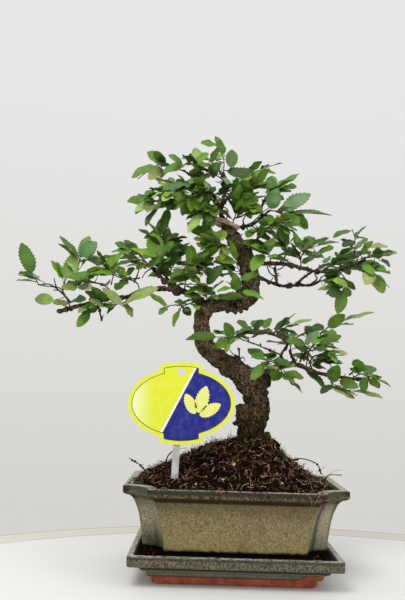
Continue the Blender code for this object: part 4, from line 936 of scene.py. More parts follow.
def leaf_finish(name, sunken):
    """A blade's colour from its hue attribute, with a paler midrib and ribs that run to the teeth."""
    finish = Finish(name)
    strip = finish.node("UVMap", {"uv_map": "UVMap"}, {})
    across, along, _ = finish.split(strip)
    aside = abs(across * 2 - 1)
    phase = ((along + RIB_LEAN * (1 - aside)) * TEETH).math("FRACT")
    rib = 1 - finish.rise(abs(phase - TOOTH_PEAK), 0.03, 0.17)
    midrib = 1 - finish.rise(aside, 0.02, 0.12)
    veins = rib.math("MAXIMUM", midrib)
    place = finish.place()
    cloud = finish.noise(place, 0.005, 3, 0.6)
    grain = finish.noise(place, 0.0007, 2)
    hue = finish.node("Attribute", {"attribute_name": "hue"}, {})
    lighter = finish.mix(0.42 if sunken else 0.5, hue, dye(178, 200, 96))
    colour = finish.mix(rib * 0.20 + midrib * 0.26, hue, lighter)
    colour = finish.scaled(colour, 0.42 + 0.86 * cloud + 0.34 * grain - 0.24 * finish.rise(aside, 0.55, 1))
    # Pale dabs along the margins: painted highlight on the leaf edges.
    edge_highlight = finish.rise(aside, 0.90, 1.0) * finish.rise(grain, 0.50, 0.62)
    colour = finish.mix(0.5 * edge_highlight, colour, dye(168, 178, 104))
    swell = (phase - TOOTH_PEAK + 0.5).math("FRACT").math("PINGPONG", 0.5)
    height = 0.5 * swell - veins * 0.6 if sunken else veins * 0.8 - 0.3 * swell
    normal = finish.relief(height + 0.3 * grain, 0.00045)
    return finish.finished(Base_Color=colour, Roughness=(0.40 if sunken else 0.56) + 0.22 * cloud,
                           Normal=normal, Specular_IOR_Level=0.36)


def twig_finish():
    finish = Finish("twig_bark")
    place = finish.place()
    ring = finish.noise(finish.place((1, 1, 1.6)), 0.0016, 3)
    colour = finish.mix(finish.rise(ring, 0.38, 0.66), dye(38, 27, 21), dye(84, 65, 47))
    colour = finish.mix(finish.rise(finish.noise(place, 0.012, 1), 0.52, 0.70), colour, dye(74, 84, 42))
    return finish.finished(Base_Color=colour, Roughness=0.7 + 0.2 * ring, Normal=finish.relief(ring, 0.0003),
                           Specular_IOR_Level=0.12)


def bark_finish(name, light):
    """Dark grey-brown bark, speckled with tan flakes and black pits, reddish and greenish in patches."""
    finish = Finish(name)
    place = finish.place()
    patch = finish.noise(place, 0.016, 3, 0.6, 0.4)
    flake = finish.noise(place, 0.0036, 4, 0.66, 0.5)
    grit = finish.noise(place, 0.0019, 4, 0.70)
    pit = finish.cells(finish.place((1, 1, 0.7)), 0.0034)
    broad = finish.noise(place, 0.010, 2, 0.5)
    scale = finish.noise(place, 0.0052, 3, 0.62, 0.3)
    hollow = finish.cells(finish.place((1, 1, 0.8)), 0.0066)
    colour = finish.mix(finish.rise(flake, 0.38, 0.60), dye(30, 21, 14), dye(108, 86, 61))
    colour = finish.mix(0.80 * finish.rise(grit, 0.57, 0.66), colour, dye(176, 156, 124))
    _, _, z = finish.split(place)
    colour = finish.scaled(colour, 0.36 + 0.70 * finish.rise(z + 0.02 * patch, 0.140, 0.174))
    colour = finish.mix(0.34 * finish.rise(z + 0.05 * patch, 0.185, 0.225), colour, dye(126, 112, 88))
    colour = finish.scaled(colour, 0.50 + 1.0 * broad)
    upper = 0.25 + 0.75 * finish.rise(z, 0.225, 0.250)
    colour = finish.coated(colour, [
        (0.52 * upper * finish.rise(scale, 0.52, 0.62), (152, 142, 114)),
        (0.40 * finish.rise(patch, 0.57, 0.68), (98, 54, 34)),
        (0.45 * (1 - finish.rise(patch, 0.34, 0.46)), (60, 64, 32)),
        (0.95 * (1 - finish.rise(grit, 0.38, 0.47)), (5, 4, 3)),
        (0.85 * (1 - finish.rise(pit, 0.12, 0.36)), (8, 6, 5)),
        (0.26 * finish.rise(z + 0.02 * patch, 0.245, 0.280), (66, 70, 58)),
        ((0.35 + 0.45 * upper) * (1 - finish.rise(hollow, 0.16, 0.42)), (8, 6, 5)),
    ])
    colour = finish.scaled(colour, light)
    height = 0.6 * flake + 0.6 * grit + 0.3 * pit
    normal = finish.relief(height, 0.0020)
    return finish.finished(Base_Color=colour, Roughness=0.74 + 0.22 * flake, Normal=normal,
                           Specular_IOR_Level=0.06)


def wood_finish():
    """The old cut's bare wood."""
    finish = Finish("cut_wood")
    streak = finish.noise(finish.place((1, 1, 3)), 0.0035, 4, 0.6)
    colour = finish.mix(finish.rise(streak, 0.35, 0.65), dye(148, 116, 100), dye(228, 198, 178))
    return finish.finished(Base_Color=colour, Roughness=0.8 + 0.1 * streak,
                           Normal=finish.relief(streak, 0.0008))


def earth_finish():
    """Peat: near-black brown, with reddish and olive patches."""
    finish = Finish("peat")
    place = finish.place()
    patch = finish.noise(place, 0.012, 3, 0.6)
    crumb = finish.noise(place, 0.0020, 4, 0.68)
    colour = finish.mix(finish.rise(crumb, 0.44, 0.66), dye(5, 4, 3), dye(44, 30, 21))
    colour = finish.coated(colour, [
        (0.5 * finish.rise(patch, 0.54, 0.68), (60, 32, 21)),
        (0.5 * (1 - finish.rise(patch, 0.30, 0.42)), (34, 32, 15)),
        (0.8 * finish.rise(crumb, 0.66, 0.74), (120, 88, 66)),
    ])
    return finish.finished(Base_Color=colour, Roughness=0.85 + 0.15 * crumb,
                           Normal=finish.relief(crumb, 0.0026), Specular_IOR_Level=0.03)


def fibre_finish(name, dark, light, grain=0.004):
    finish = Finish(name)
    tone = finish.noise(finish.place(), grain, 3, 0.6)
    colour = finish.mix(finish.rise(tone, 0.34, 0.66), dark, light)
    return finish.finished(Base_Color=colour, Roughness=0.68 + 0.25 * tone,
                           Normal=finish.relief(tone, 0.0003), Specular_IOR_Level=0.08)


def clay_coat(finish, place):
    """Unglazed red clay: its colour, and how rough it is."""
    stain = finish.noise(place, 0.010, 3, 0.6)
    sand = finish.noise(place, 0.0009, 2, 0.6)
    colour = finish.mix(finish.rise(stain, 0.36, 0.66), dye(146, 75, 56), dye(188, 100, 74))
    colour = finish.mix(0.5 * finish.rise(sand, 0.60, 0.72), colour, dye(96, 42, 32))
    return colour, 0.72 + 0.15 * sand, sand


def pot_finish():
    """Speckled olive glaze, thin and dark on lip and wall edges, its black lower edge partly glaze and partly
    painted shadow, with painted shade under the lip and in the hollowed corners and painted highlight on the
    lip's top and the right hollowed corner, over a clay foot darkened by painted shade and debris.
    """
    finish = Finish("pot_glaze")
    place = finish.place()
    x, y, z = finish.split(place)
    fleck = finish.noise(finish.place((1, 1, 0.62)), 0.0013, 3, 0.6, 0.2)
    speck = finish.noise(place, 0.0009, 2, 0.55)
    patch = finish.noise(place, 0.024, 3, 0.55)
    ragged = finish.noise(place, 0.0040, 3, 0.62)
    iron = finish.cells(place, 0.0065)
    right = finish.rise(x, -0.02, 0.02)

    colour = finish.mix(finish.rise(fleck, 0.34, 0.66), dye(95, 83, 54), dye(149, 136, 95))
    colour = finish.coated(colour, [
        (0.5 * finish.rise(speck, 0.58, 0.72), (180, 168, 122)),
        (0.32 * (1 - finish.rise(z, 0.030, 0.050)), (152, 142, 80)),
        (0.50 * finish.rise(z + 0.012 * patch, 0.062, 0.076), (84, 70, 44)),
        (0.34 * finish.rise(patch, 0.52, 0.68), (92, 78, 46)),
    ])

    front = abs(y) - abs(x) + (POT_LENGTH / 2 - POT_WIDTH / 2 - WALL_NOTCH)
    beside = abs(x) - abs(y) + (POT_WIDTH / 2 - POT_LENGTH / 2 - WALL_NOTCH)
    panel = front.math("MAXIMUM", beside)
    soft = finish.rise(z, 0.052, 0.068) * 0.010
    notch = 1 - finish.rise(panel + soft * (fleck - 0.35), -0.0035, -0.0002)
    grey = finish.mix(finish.rise(fleck, 0.34, 0.66), dye(104, 98, 76), dye(172, 166, 142))
    grey = finish.mix(0.45 * finish.rise(ragged, 0.50, 0.62), grey, dye(128, 116, 78))
    colour = finish.mix(notch * 0.9, colour, grey)
    low = 1 - finish.rise(z + 0.010 * ragged, 0.036, 0.060)
    # Painted shade in the middle of the hollowed corners: strong on the right, low down on the left.
    depth = 1 - finish.rise(panel + 0.003 * ragged, -0.0170, -0.0120)
    colour = finish.mix(depth * (0.10 + 0.66 * right + 0.6 * low * (1 - right)), colour, dye(44, 46, 35))
    # Painted light on the outer part of the right hollowed corner.
    outer = right * finish.rise(-1 * front, 0.022, 0.032) * notch
    colour = finish.mix(0.34 * outer, colour, dye(190, 184, 160))
    teal = (1 - finish.rise(panel, -0.0060, 0.0050)) * low
    colour = finish.mix(teal * (0.80 - 0.45 * right), colour, dye(34, 44, 38))
    # Painted shade under the lip in the hollowed corners.
    notch_lip_shade = finish.rise(z + 0.004 * ragged, 0.0640, 0.0745) * notch
    colour = finish.mix(0.6 * notch_lip_shade, colour, dye(58, 56, 44))

    # Painted shadow in a dark band under the lip.
    lip_shadow = finish.rise(z + 0.0020 * ragged, 0.0712, 0.0732)
    lip_shadow = lip_shadow * (1 - finish.rise(z + 0.0016 * ragged, 0.0766, 0.0780))
    colour = finish.mix(lip_shadow * (0.92 - 0.5 * notch), colour, dye(22, 20, 12))
    lip = finish.rise(z + 0.0012 * ragged, 0.0767, 0.0777)
    lip_colour = finish.mix(finish.rise(fleck, 0.42, 0.62), dye(26, 24, 14), dye(110, 100, 62))
    lip_top = 0.85 * finish.rise(z + 0.0022 * ragged, 0.0786, 0.0814)
    lip_colour = finish.coated(lip_colour, [
        (lip_top, (30, 27, 20)),
        (0.45 * finish.rise(speck, 0.60, 0.70), (126, 116, 88)),
        (0.35 * notch, (86, 86, 70)),
    ])
    colour = finish.mix(lip, colour, lip_colour)
    # Painted highlight and reflection on the lip's top, broken by dark patches along the front.
    lip_top_highlight = finish.rise(z + 0.0003 * ragged, 0.0829, 0.0830)
    dark_patch = finish.rise(ragged + 0.5 * patch, 0.70, 0.80)
    lip_highlight_colour = finish.mix(finish.rise(speck, 0.36, 0.56), dye(88, 84, 68), dye(176, 171, 150))
    lip_highlight_colour = finish.mix(0.85 * dark_patch * finish.rise(-1 * y, 0.05, 0.06), lip_highlight_colour, dye(40, 36, 28))
    colour = finish.mix(lip_top_highlight, colour, lip_highlight_colour)

    # A black band at the wall's foot: partly the glaze's dark lower edge, partly painted shadow above the
    # tray.
    glaze_edge_and_shadow = finish.rise(z + 0.0050 * ragged, 0.0312, 0.0348)
    colour = finish.mix(1 - glaze_edge_and_shadow, colour, dye(14, 16, 11))
    dots = (1 - finish.rise(iron, 0.05, 0.13)) * finish.rise(patch, 0.36, 0.44)
    colour = finish.mix(0.9 * dots, colour, dye(24, 20, 14))

    clay, clay_roughness, sand = clay_coat(finish, place)
    # The clay just under the glaze, and all of it below the hollowed corners, is darkened: painted shadow,
    # with some debris.
    foot_shade_and_debris = 1 - 0.85 * (1 - finish.rise(z + 0.003 * ragged, 0.0222, 0.0240)) * (1 - notch)
    clay = finish.mix(0.90 * foot_shade_and_debris, clay, dye(16, 12, 10))
    glazed = finish.rise(z + 0.0008 * ragged, 0.0262, 0.0268)
    colour = finish.mix(glazed, clay, colour)
    roughness = clay_roughness + glazed * (0.38 + 0.26 * fleck - clay_roughness)
    height = 0.6 * fleck + 0.4 * speck - 0.4 * dots
    normal = finish.relief(height * glazed + 0.4 * sand * (1 - glazed), 0.0006)
    return finish.finished(Base_Color=colour, Roughness=roughness, Coat_Weight=0.08 * glazed, Normal=normal,
                           Coat_Roughness=0.18, Specular_IOR_Level=0.18)


def tray_finish():
    """Grey-green glaze with a slanting speckle, painted highlight along the rim's top and painted shade under
    the rim, dark pooled inside, over a clay foot.
    """
    finish = Finish("tray_glaze")
    place = finish.place()
    x, y, z = finish.split(place)
    slant = finish.noise(finish.place((1.0, 1, 0.6), (0, math.radians(35), 0)), 0.0010, 3, 0.6)
    speck = finish.noise(place, 0.0007, 2, 0.55)
    patch = finish.noise(place, 0.018, 3, 0.5)
    ragged = finish.noise(place, 0.0045, 3, 0.6)
    colour = finish.mix(finish.rise(slant, 0.38, 0.62), dye(36, 33, 24), dye(108, 101, 78))
    colour = finish.mix(0.55 * finish.rise(speck, 0.58, 0.70), colour, dye(140, 134, 112))
    colour = finish.mix(0.30 * finish.rise(patch, 0.50, 0.66), colour, dye(64, 68, 54))
    body = 1 - finish.rise(z + 0.001 * ragged, 0.0176, 0.0186)
    colour = finish.mix(body * 0.38, colour, dye(124, 118, 92))
    # Painted shade under the rim's overhanging ledge.
    under = finish.rise(z, 0.0158, 0.0170) * (1 - finish.rise(z + 0.001 * ragged, 0.0184, 0.0192))
    colour = finish.mix(under * 0.22, colour, dye(40, 42, 34))
    band = finish.rise(z + 0.0010 * ragged, 0.0244, 0.0250) * (1 - finish.rise(z, 0.0260, 0.0264))
    colour = finish.mix(band * 0.6, colour, dye(26, 26, 22))
    # Painted highlight along the rim's top, broken by noise.
    rim = finish.rise(z, 0.0266, 0.0269)
    bright = finish.mix(finish.rise(ragged, 0.40, 0.58), dye(74, 72, 62), dye(172, 169, 156))
    colour = finish.mix(rim, colour, bright)
    inner = finish.rise(TRAY_LENGTH / 2 - 0.0056 - abs(x), 0.0, 0.0006)
    inner = inner * finish.rise(TRAY_WIDTH / 2 - 0.0056 - abs(y), 0.0, 0.0006)
    inner = inner * finish.rise(z, 0.0138, 0.0142)
    wall = finish.mix(finish.rise(slant, 0.36, 0.64), dye(30, 30, 25), dye(64, 63, 55))
    end_wall = finish.rise(abs(x) - (TRAY_LENGTH / 2 - 0.0115), 0.0, 0.0006)
    colour = finish.mix(inner, colour, finish.mix(end_wall, dye(14, 17, 14), wall))
    pooled = inner * (1 - finish.rise(z + 0.004 * ragged, 0.0170, 0.0204))
    colour = finish.mix(pooled, colour, dye(9, 11, 9))
    clay, clay_roughness, sand = clay_coat(finish, place)
    clay = finish.mix(0.5 * finish.rise(z, 0.0066, 0.0070), clay, dye(96, 50, 36))
    sag = 0.0010 * (patch - 0.5)
    edge = 0.0078 + 0.0036 * finish.rise(x + 0.010 * ragged, 0.056, 0.068)
    glazed = finish.rise(z + 0.0010 * ragged + sag - edge, 0.0001, 0.0005)
    low_edge = 1 - finish.rise(z + 0.0010 * ragged - edge, 0.0006, 0.0016)
    colour = finish.mix(glazed * low_edge, colour, dye(36, 30, 20))
    colour = finish.mix(glazed, clay, colour)
    roughness = clay_roughness + glazed * (0.28 + 0.22 * slant - clay_roughness)
    normal = finish.relief(0.6 * slant * glazed + 0.4 * sand * (1 - glazed), 0.0009)
    return finish.finished(Base_Color=colour, Roughness=roughness, Coat_Weight=0.22 * glazed, Normal=normal,
                           Coat_Roughness=0.12, Specular_IOR_Level=0.25)


def print_finish(name, ink, fade=0.10, pale_to=None):
    """Printed card: an ink with a faint mottle and a paper grain, paler to the left of a place if given."""
    finish = Finish(name)
    place = finish.place()
    mottle = finish.noise(place, 0.006, 2)
    fibre = finish.noise(place, 0.0006, 2)
    colour = finish.mix(fade * finish.rise(mottle, 0.4, 0.7), ink, dye(236, 236, 230))
    if pale_to is not None:
        x, _, _ = finish.split(place)
        pale = 1 - finish.rise(x + 0.012 * mottle, pale_to - 0.018, pale_to + 0.012)
        colour = finish.mix(0.75 * pale, colour, dye(238, 240, 222))
    return finish.finished(Base_Color=colour, Roughness=0.34 + 0.12 * fibre,
                           Normal=finish.relief(fibre, 0.00006), Specular_IOR_Level=0.3)


def stake_finish():
    finish = Finish("milky_plastic")
    cloud = finish.noise(finish.place(), 0.010, 3)
    colour = finish.mix(finish.rise(cloud, 0.35, 0.7), dye(160, 161, 158), dye(190, 191, 187))
    return finish.finished(Base_Color=colour, Roughness=0.30 + 0.15 * cloud,
                           Normal=finish.relief(cloud, 0.0001))


def stage_finish(name, pale, shaded):
    finish = Finish(name)
    cloud = finish.noise(finish.place(), 0.25, 2)
    return finish.finished(Base_Color=finish.mix(cloud, pale, shaded), Roughness=0.6 + 0.1 * cloud,
                           Specular_IOR_Level=0.2)


CORNERS = ((1, 1), (-1, 1), (-1, -1), (1, -1))


def draw_up(obj, length, width, rows):
    """Extrudes the selected cap through rows of inset, height and corner. Each quarter of the cap moves in by
    the change of inset, and shrinks about its own corner by the change of corner."""
    for (inset, height, corner), (next_inset, next_height, next_corner) in zip(rows, rows[1:]):
        rise = {"value": (0, 0, next_height - height)}
        bpy.ops.mesh.extrude_region_move(TRANSFORM_OT_translate=rise)
        cap = chosen(obj, "verts")
        inwards = next_inset - inset
        shrink = next_corner / corner
        for side_x, side_y in CORNERS:
            shape = bmesh.from_edit_mesh(obj.data)
            shape.verts.ensure_lookup_table()
            quarter = {i for i in cap
                       if shape.verts[i].co.x * side_x > 0 and shape.verts[i].co.y * side_y > 0}
            choose(obj, "verts", quarter)
            bpy.ops.transform.translate(value=(-side_x * inwards, -side_y * inwards, 0))
            tip = (side_x * (length / 2 - next_inset), side_y * (width / 2 - next_inset), next_height)
            bpy.ops.transform.resize(value=(shrink, shrink, 1), center_override=tip)
        choose(obj, "verts", cap)


def arc_rows(middle, radius, start, end, corner):
    """Rows on an arc about a middle row, by angles in degrees: 0 points inwards, 90 up."""
    rows = []
    for step in range(ROUND_STEPS + 1):
        turn = math.radians(start + (end - start) * step / ROUND_STEPS)
        rows.append((middle[0] + radius * math.cos(turn), middle[1] + radius * math.sin(turn), corner))
    return rows


def slab(name, length, width, height, corner, steps, profile):
    """A flat sheet with its four corners rounded or hollowed, left in edit mode with its face selected."""
    bpy.ops.object.select_all(action="DESELECT")
    bpy.ops.mesh.primitive_plane_add(size=1, location=(0, 0, 0))
    obj = named(bpy.context.object, name)
    start_edit(obj)
    bpy.ops.mesh.select_all(action="SELECT")
    bpy.ops.transform.resize(value=(length, width, 1))
    bpy.ops.transform.translate(value=(0, 0, height))
    bpy.ops.mesh.bevel(affect="VERTICES", offset=corner, offset_type="OFFSET", segments=steps,
                       profile=profile)
    bpy.ops.mesh.select_all(action="SELECT")
    return obj


def close_up():
    """Ends the edit with all faces turned outward."""
    bpy.ops.mesh.select_all(action="SELECT")
    bpy.ops.mesh.normals_make_consistent(inside=False)
    end_edit()


def model_pot(finish):
    """The wall is drawn up from the foot over the lip and down inside, then its foot is hollowed and cut."""
    body = [tuple(row) for row in smoothed([Vector(row) for row in POT_BODY], 3)]
    lip_top = arc_rows((POT_LIP_ROUND, POT_TOP - POT_LIP_ROUND), POT_LIP_ROUND, 180, 90, POT_NOTCH)
    mouth = arc_rows((POT_LIP - 0.0014, POT_TOP - 0.0014), 0.0014, 90, 0, POT_NOTCH)
    rows = [*POT_FOOT, *body, *lip_top, *mouth, *POT_INSIDE]
    inset = rows[0][0]
    pot = slab("pot_glazed", POT_LENGTH - 2 * inset, POT_WIDTH - 2 * inset, POT_BASE, WALL_NOTCH, NOTCH_STEPS,
               NOTCH_PROFILE)
    draw_up(pot, POT_LENGTH, POT_WIDTH, rows)
    close_up()
    finish_with(pot, "BEVEL", width=0.0009, segments=2, limit_method="ANGLE", angle_limit=math.radians(38))

    low = POT_BASE - BELOW
    length, width = POT_LENGTH - 2 * FOOT_INSET, POT_WIDTH - 2 * FOOT_INSET
    hollow = slab("hollow", length, width, low, POT_NOTCH, NOTCH_STEPS, NOTCH_PROFILE)
    draw_up(hollow, length, width, ((0, low, POT_NOTCH), (0.0004, POT_BASE + FOOT_HOLLOW, POT_NOTCH)))
    close_up()
    bpy.ops.mesh.primitive_cube_add(size=1, location=(0, 0, 0))
    arch = named(bpy.context.object, "arch")
    start_edit(arch)
    bpy.ops.mesh.select_all(action="SELECT")
    bpy.ops.transform.resize(value=(ARCH_WIDTH, POT_WIDTH, ARCH_HEIGHT + BELOW))
    bpy.ops.transform.translate(value=(0, 0, low + (ARCH_HEIGHT + BELOW) / 2))
    choose(arch, "verts", lambda at: at.z > POT_BASE)
    bpy.ops.transform.resize(value=(ARCH_TOP_WIDTH / ARCH_WIDTH, 1, 1))
    close_up()
    cutters = [hollow, arch]
    depth = DRAIN_DEPTH + BELOW
    for side in (-1, 1):
        bpy.ops.mesh.primitive_cylinder_add(vertices=28, radius=DRAIN_RADIUS, depth=depth,
                                            location=(side * DRAIN_OFFSET, 0, low + depth / 2))
        cutters.append(settle(named(bpy.context.object, f"drain_{side}")))
    for cutter in cutters:
        finish_with(pot, "BOOLEAN", operation="DIFFERENCE", object=cutter, solver="EXACT")
    discard(*cutters)
    return shade(wear(pot, finish), 30)


def model_tray(finish):
    body = [tuple(row) for row in smoothed([Vector(row) for row in TRAY_BODY], 3)]
    corner = TRAY_BODY[-1][2]
    rim = arc_rows((TRAY_RIM_ROUND, TRAY_HEIGHT - TRAY_RIM_ROUND), TRAY_RIM_ROUND, 180, 90, corner)
    inner = arc_rows((TRAY_RIM - 0.0008, TRAY_HEIGHT - 0.0008), 0.0008, 90, 0, corner)
    rows = [*TRAY_FOOT, *body, *rim, *inner, *TRAY_INSIDE]
    inset = rows[0][0]
    tray = slab("tray_glazed", TRAY_LENGTH - 2 * inset, TRAY_WIDTH - 2 * inset, 0, rows[0][2], 6, 0.5)
    draw_up(tray, TRAY_LENGTH, TRAY_WIDTH, rows)
    close_up()
    finish_with(tray, "BEVEL", width=0.0004, segments=2, limit_method="ANGLE", angle_limit=math.radians(38))
    return shade(wear(tray, finish), 30)


def blade_width(share):
    """How wide a leaf is at a share of its length, against its widest."""
    return share ** 0.60 * (1 - share) ** 0.70 / 0.405


def model_blade(over, under):
    """One flat leaf with its foot at the origin, 1 long along Y and 1 wide, with scalloped edges."""
    segments = 2 * TEETH
    bpy.ops.object.select_all(action="DESELECT")
    bpy.ops.mesh.primitive_grid_add(x_subdivisions=2, y_subdivisions=segments, size=1, calc_uvs=True)
    blade = wear(named(bpy.context.object, "blade"), over, under)
    start_edit(blade)
    bpy.ops.mesh.select_all(action="SELECT")
    bpy.ops.transform.translate(value=(0, 0.5, 0))
    rows = [(step / segments, 0.0) for step in range(segments + 1)]
    for step, (old, _) in enumerate(rows):
        tooth, peak = divmod(step, 2)
        share = (tooth + (TOOTH_PEAK if peak else 0)) / TEETH
        reach = 0 if step in (0, segments) else blade_width(share) * (TOOTH_OUT if peak else TOOTH_IN)
        choose(blade, "verts", lambda at: abs(at.y - old) < 0.2 / segments)
        bpy.ops.transform.resize(value=(reach, 1, 1), center_override=(0, 0, 0))
        rows[step] = (old, share)
    for step in reversed(range(1, segments)):
        old, share = rows[step]
        choose(blade, "verts", lambda at: abs(at.y - old) < 0.01 / segments)
        bpy.ops.transform.translate(value=(0, share - old, 0))
    bpy.ops.mesh.select_all(action="SELECT")
    bpy.ops.mesh.duplicate()
    bpy.ops.mesh.flip_normals()
    blade.active_material_index = 1
    bpy.ops.object.material_slot_assign()
    bpy.ops.transform.translate(value=(0, 0, -1))
    choose(blade, "verts", lambda at: abs(at.x) > 1e-5 and at.z < -0.5)
    bpy.ops.transform.translate(value=(0, 0, 1))
    choose(blade, "verts", lambda at: at.z < -0.5 and not 0.001 < at.y < 0.999)
    bpy.ops.transform.translate(value=(0, 0, 1))
    bpy.ops.mesh.select_all(action="SELECT")
    bpy.ops.mesh.remove_doubles(threshold=1e-4)
    end_edit()
    return blade


# Leaf tones by letter: M usual, D dark, P pale, B bright, Y yellowish, U bluish, as seen from below. A drawn
# leaf's letter follows how that leaf looks, so besides the leaves' own tones D is partly painted shade and P
# and B partly painted highlight.
USUAL_TONES = "MMDMPMMBM"
HUES = {
    "M": (dye(94, 138, 32), dye(82, 124, 28), dye(106, 148, 40), dye(84, 126, 38)),
    "D": (dye(48, 80, 20), dye(58, 96, 28)),
    "P": (dye(142, 162, 90), dye(128, 152, 72), dye(154, 172, 104)),
    "B": (dye(112, 158, 38), dye(102, 150, 38)),
    "Y": (dye(154, 168, 46), dye(142, 168, 54)),
    "U": (dye(92, 126, 76), dye(104, 138, 92)),
}


def grow_blade(model, leaf, tone, draw):
    """A copy of the blade where this leaf's solid lies, folded along its midrib and drooping to its tip."""
    foot, along, across, up, length, width, _ = leaf
    blade = shown("blade", model.data.copy())
    curl = draw.uniform(-0.14, 0.20)
    sway = draw.uniform(-0.07, 0.07)
    ripple = draw.uniform(0.5, 1.1)
    twist = draw.uniform(-0.5, 0.5)
    fold = LEAF_FOLD * draw.uniform(0.8, 2.0)
    for vertex in blade.data.vertices:
        beside, share, under = vertex.co
        rise = BLADE_THICKNESS * (0.5 + under) if abs(beside) < 1e-4 else 0
        wave = ripple * 0.0009 * math.sin(11 * share + 120 * sway) * abs(beside) * 2
        lift = fold * abs(beside) * width - (LEAF_DROOP + curl * 0.35) * length * share ** 2 + rise + wave
        lift += twist * (share - 0.4) * beside * width
        aside = beside * width + sway * length * share * (1 - share) * 2
        vertex.co = foot + along * (share * length) + across * aside + up * lift
    bright = draw.uniform(0.62, 1.16)
    hue = [channel * bright * draw.uniform(0.90, 1.10) for channel in draw.choice(HUES[tone])[:3]]
    colours = blade.data.color_attributes.new("hue", "FLOAT_COLOR", "POINT")
    for entry in colours.data:
        entry.color = (*hue, 1)
    return blade


def over_trunk(place):
    """Whether this place hides the upper trunk."""
    column, row = mark_of(place)
    upper = TRUNK_LIMBS[2]
    for (low_column, low_row, _, wide), (high_column, high_row, _, _) in zip(upper, upper[1:]):
        if high_row < row <= low_row:
            middle = low_column + (high_column - low_column) * (low_row - row) / (low_row - high_row)
            return place.y < 0 and abs(column - middle) < wide * 0.62
    return False


def fill_leaves(name, runs, draw):
    """Small leaves along a spray's stems, for its fullness."""
    found = []
    for _ in range(FILL.get(name, FILL_USUAL)):
        run = draw.choice(runs)
        root, ahead = point_on(run, draw.uniform(*FILL_ALONG) * (len(run) - 1))
        level = Vector((draw.gauss(0, FILL_TILT), draw.gauss(-FILL_FORWARD, FILL_TILT), 1)).normalized()
        side = ahead.cross(level).normalized() * draw.choice((-1, 1))
        along = ahead * draw.uniform(*FILL_AHEAD) + side + Vector((0, 0, draw.uniform(*FILL_RISE)))
        along.normalize()
        up = square_to(level, along)
        length = draw.uniform(*FILL_LENGTH)
        foot = root + along * draw.uniform(*FILL_STALK)
        tip = foot + along * length
        low, high = cad_box
        inside = all(low[axis] + FILL_MARGIN < tip[axis] < high[axis] - FILL_MARGIN for axis in range(3))
        if inside and not over_trunk(foot.lerp(tip, 0.5)) and not over_trunk(tip):
            found.append((foot, along, up.cross(along), up, length, length * draw.uniform(*FILL_WIDTH), root))
    return found


def model_sprays(blade, twig):
    """Each leafy stem: its leaves, its stems and the leaves' stalks, joined into one piece."""
    pieces = []
    for number, (name, runs, leaves) in enumerate(lay_out()):
        draw = random.Random(FILL_SEED + number)
        leaves = leaves + [(leaf, draw.choice(FILL_TONES)) for leaf in fill_leaves(name, runs, draw)]
        lines = []
        for index, run in enumerate(runs):
            start = run[0][0] + (run[0][0] - run[1][0]).normalized() * (0.0015 if index == 0 else 0)
            line = [(start, run[0][1])] + run[1:]
            lines.append([(point, radius * 0.62) for point, radius in smooth_run(line, 4)])
        blades = []
        for leaf, tone in leaves:
            blades.append(grow_blade(blade, leaf, tone, draw))
            foot, along, _, _, length, _, root = leaf
            bend = foot - along * min(STALK_BEND, (foot - root).length * 0.6)
            line = [(root, 0.00042), (bend, 0.00038), (foot, 0.00034)]
            line.append((foot + along * 0.25 * length, 0.00020))
            lines.append(smooth_run(line, 2))
        stems = wear(tubes("stems", lines), twig)
        piece = join([*blades, stems], f"leaves_{name}")
        shade(piece, 50)
        pieces.append((piece, f"spray_{name}"))
    return pieces


def weathered(run, draw, wobble=0.10):
    """The run with its thickness uneven, as on an old branch."""
    return [(point, radius * (1 + draw.uniform(-wobble, wobble))) for point, radius in run]


# Root flares at the trunk's foot: column, row, depth and thickness at each point
FLARES = (
    ((244, 438, -7, 13), (234, 452, -13, 9), (226, 468, -19, 5)),
    ((256, 440, -9, 13), (262, 454, -17, 9), (268, 470, -24, 5)),
    ((262, 436, -2, 12), (272, 452, -6, 8), (284, 470, -9, 4.5)),
    ((250, 444, -12, 12), (247, 458, -20, 8), (243, 474, -28, 5)),
    ((258, 440, 8, 12), (268, 454, 18, 8), (276, 468, 28, 5)),
    ((242, 440, 8, 12), (232, 454, 18, 8), (224, 466, 28, 5)),
)
# Burls: column, row, depth and width
BURLS = (
    (246, 300, -6, 11), (254, 298, -4, 10), (238, 305, -5, 9), (212, 308, -6, 10),
    (229, 309, -2, 10), (234, 311, -4, 8), (238, 308.5, -1, 8), (241, 311, -3, 7), (246, 307, 0, 7),
    (243, 272, -6, 11), (255, 268, -5, 10), (250, 284, -7, 10), (240, 254, -6, 10), (246, 262, -7, 10),
    (233, 244, -5, 9), (237, 236, -4, 8), (205, 330, -13, 11), (198, 320, -9, 10), (209, 340, -14, 11),
    (216, 349, -13, 12), (223, 357, -14, 12), (235, 366, -14, 12), (229, 372, -9, 11), (247, 375, -13, 12),
    (262, 384, -9, 12), (264, 396, -8, 12), (256, 400, -12, 12), (247, 392, -14, 11), (266, 408, -7, 11),
    (245, 416, -14, 11), (262, 422, -10, 12), (250, 432, -15, 12), (238, 424, -10, 10), (266, 436, -8, 11),
    (240, 408, -11, 10), (212, 300, 4, 10), (240, 290, 8, 9), (206, 352, 4, 11), (254, 372, 8, 12),
)
# Bare twigs and knots that the branches have besides, and the seed they are drawn from
BARE_TWIGS, KNOTS, BARK_SEED = 88, 210, 71
# The pale stub along the top of the trunk: column, row, depth and width
TOP_STUB = ((200, 213, -8, 3.6), (207, 216, -9, 4.6), (215, 218.5, -9, 4.8), (224, 221, -9, 4.8),
            (233, 225, -7, 5.0), (238, 228, -3, 5.6))
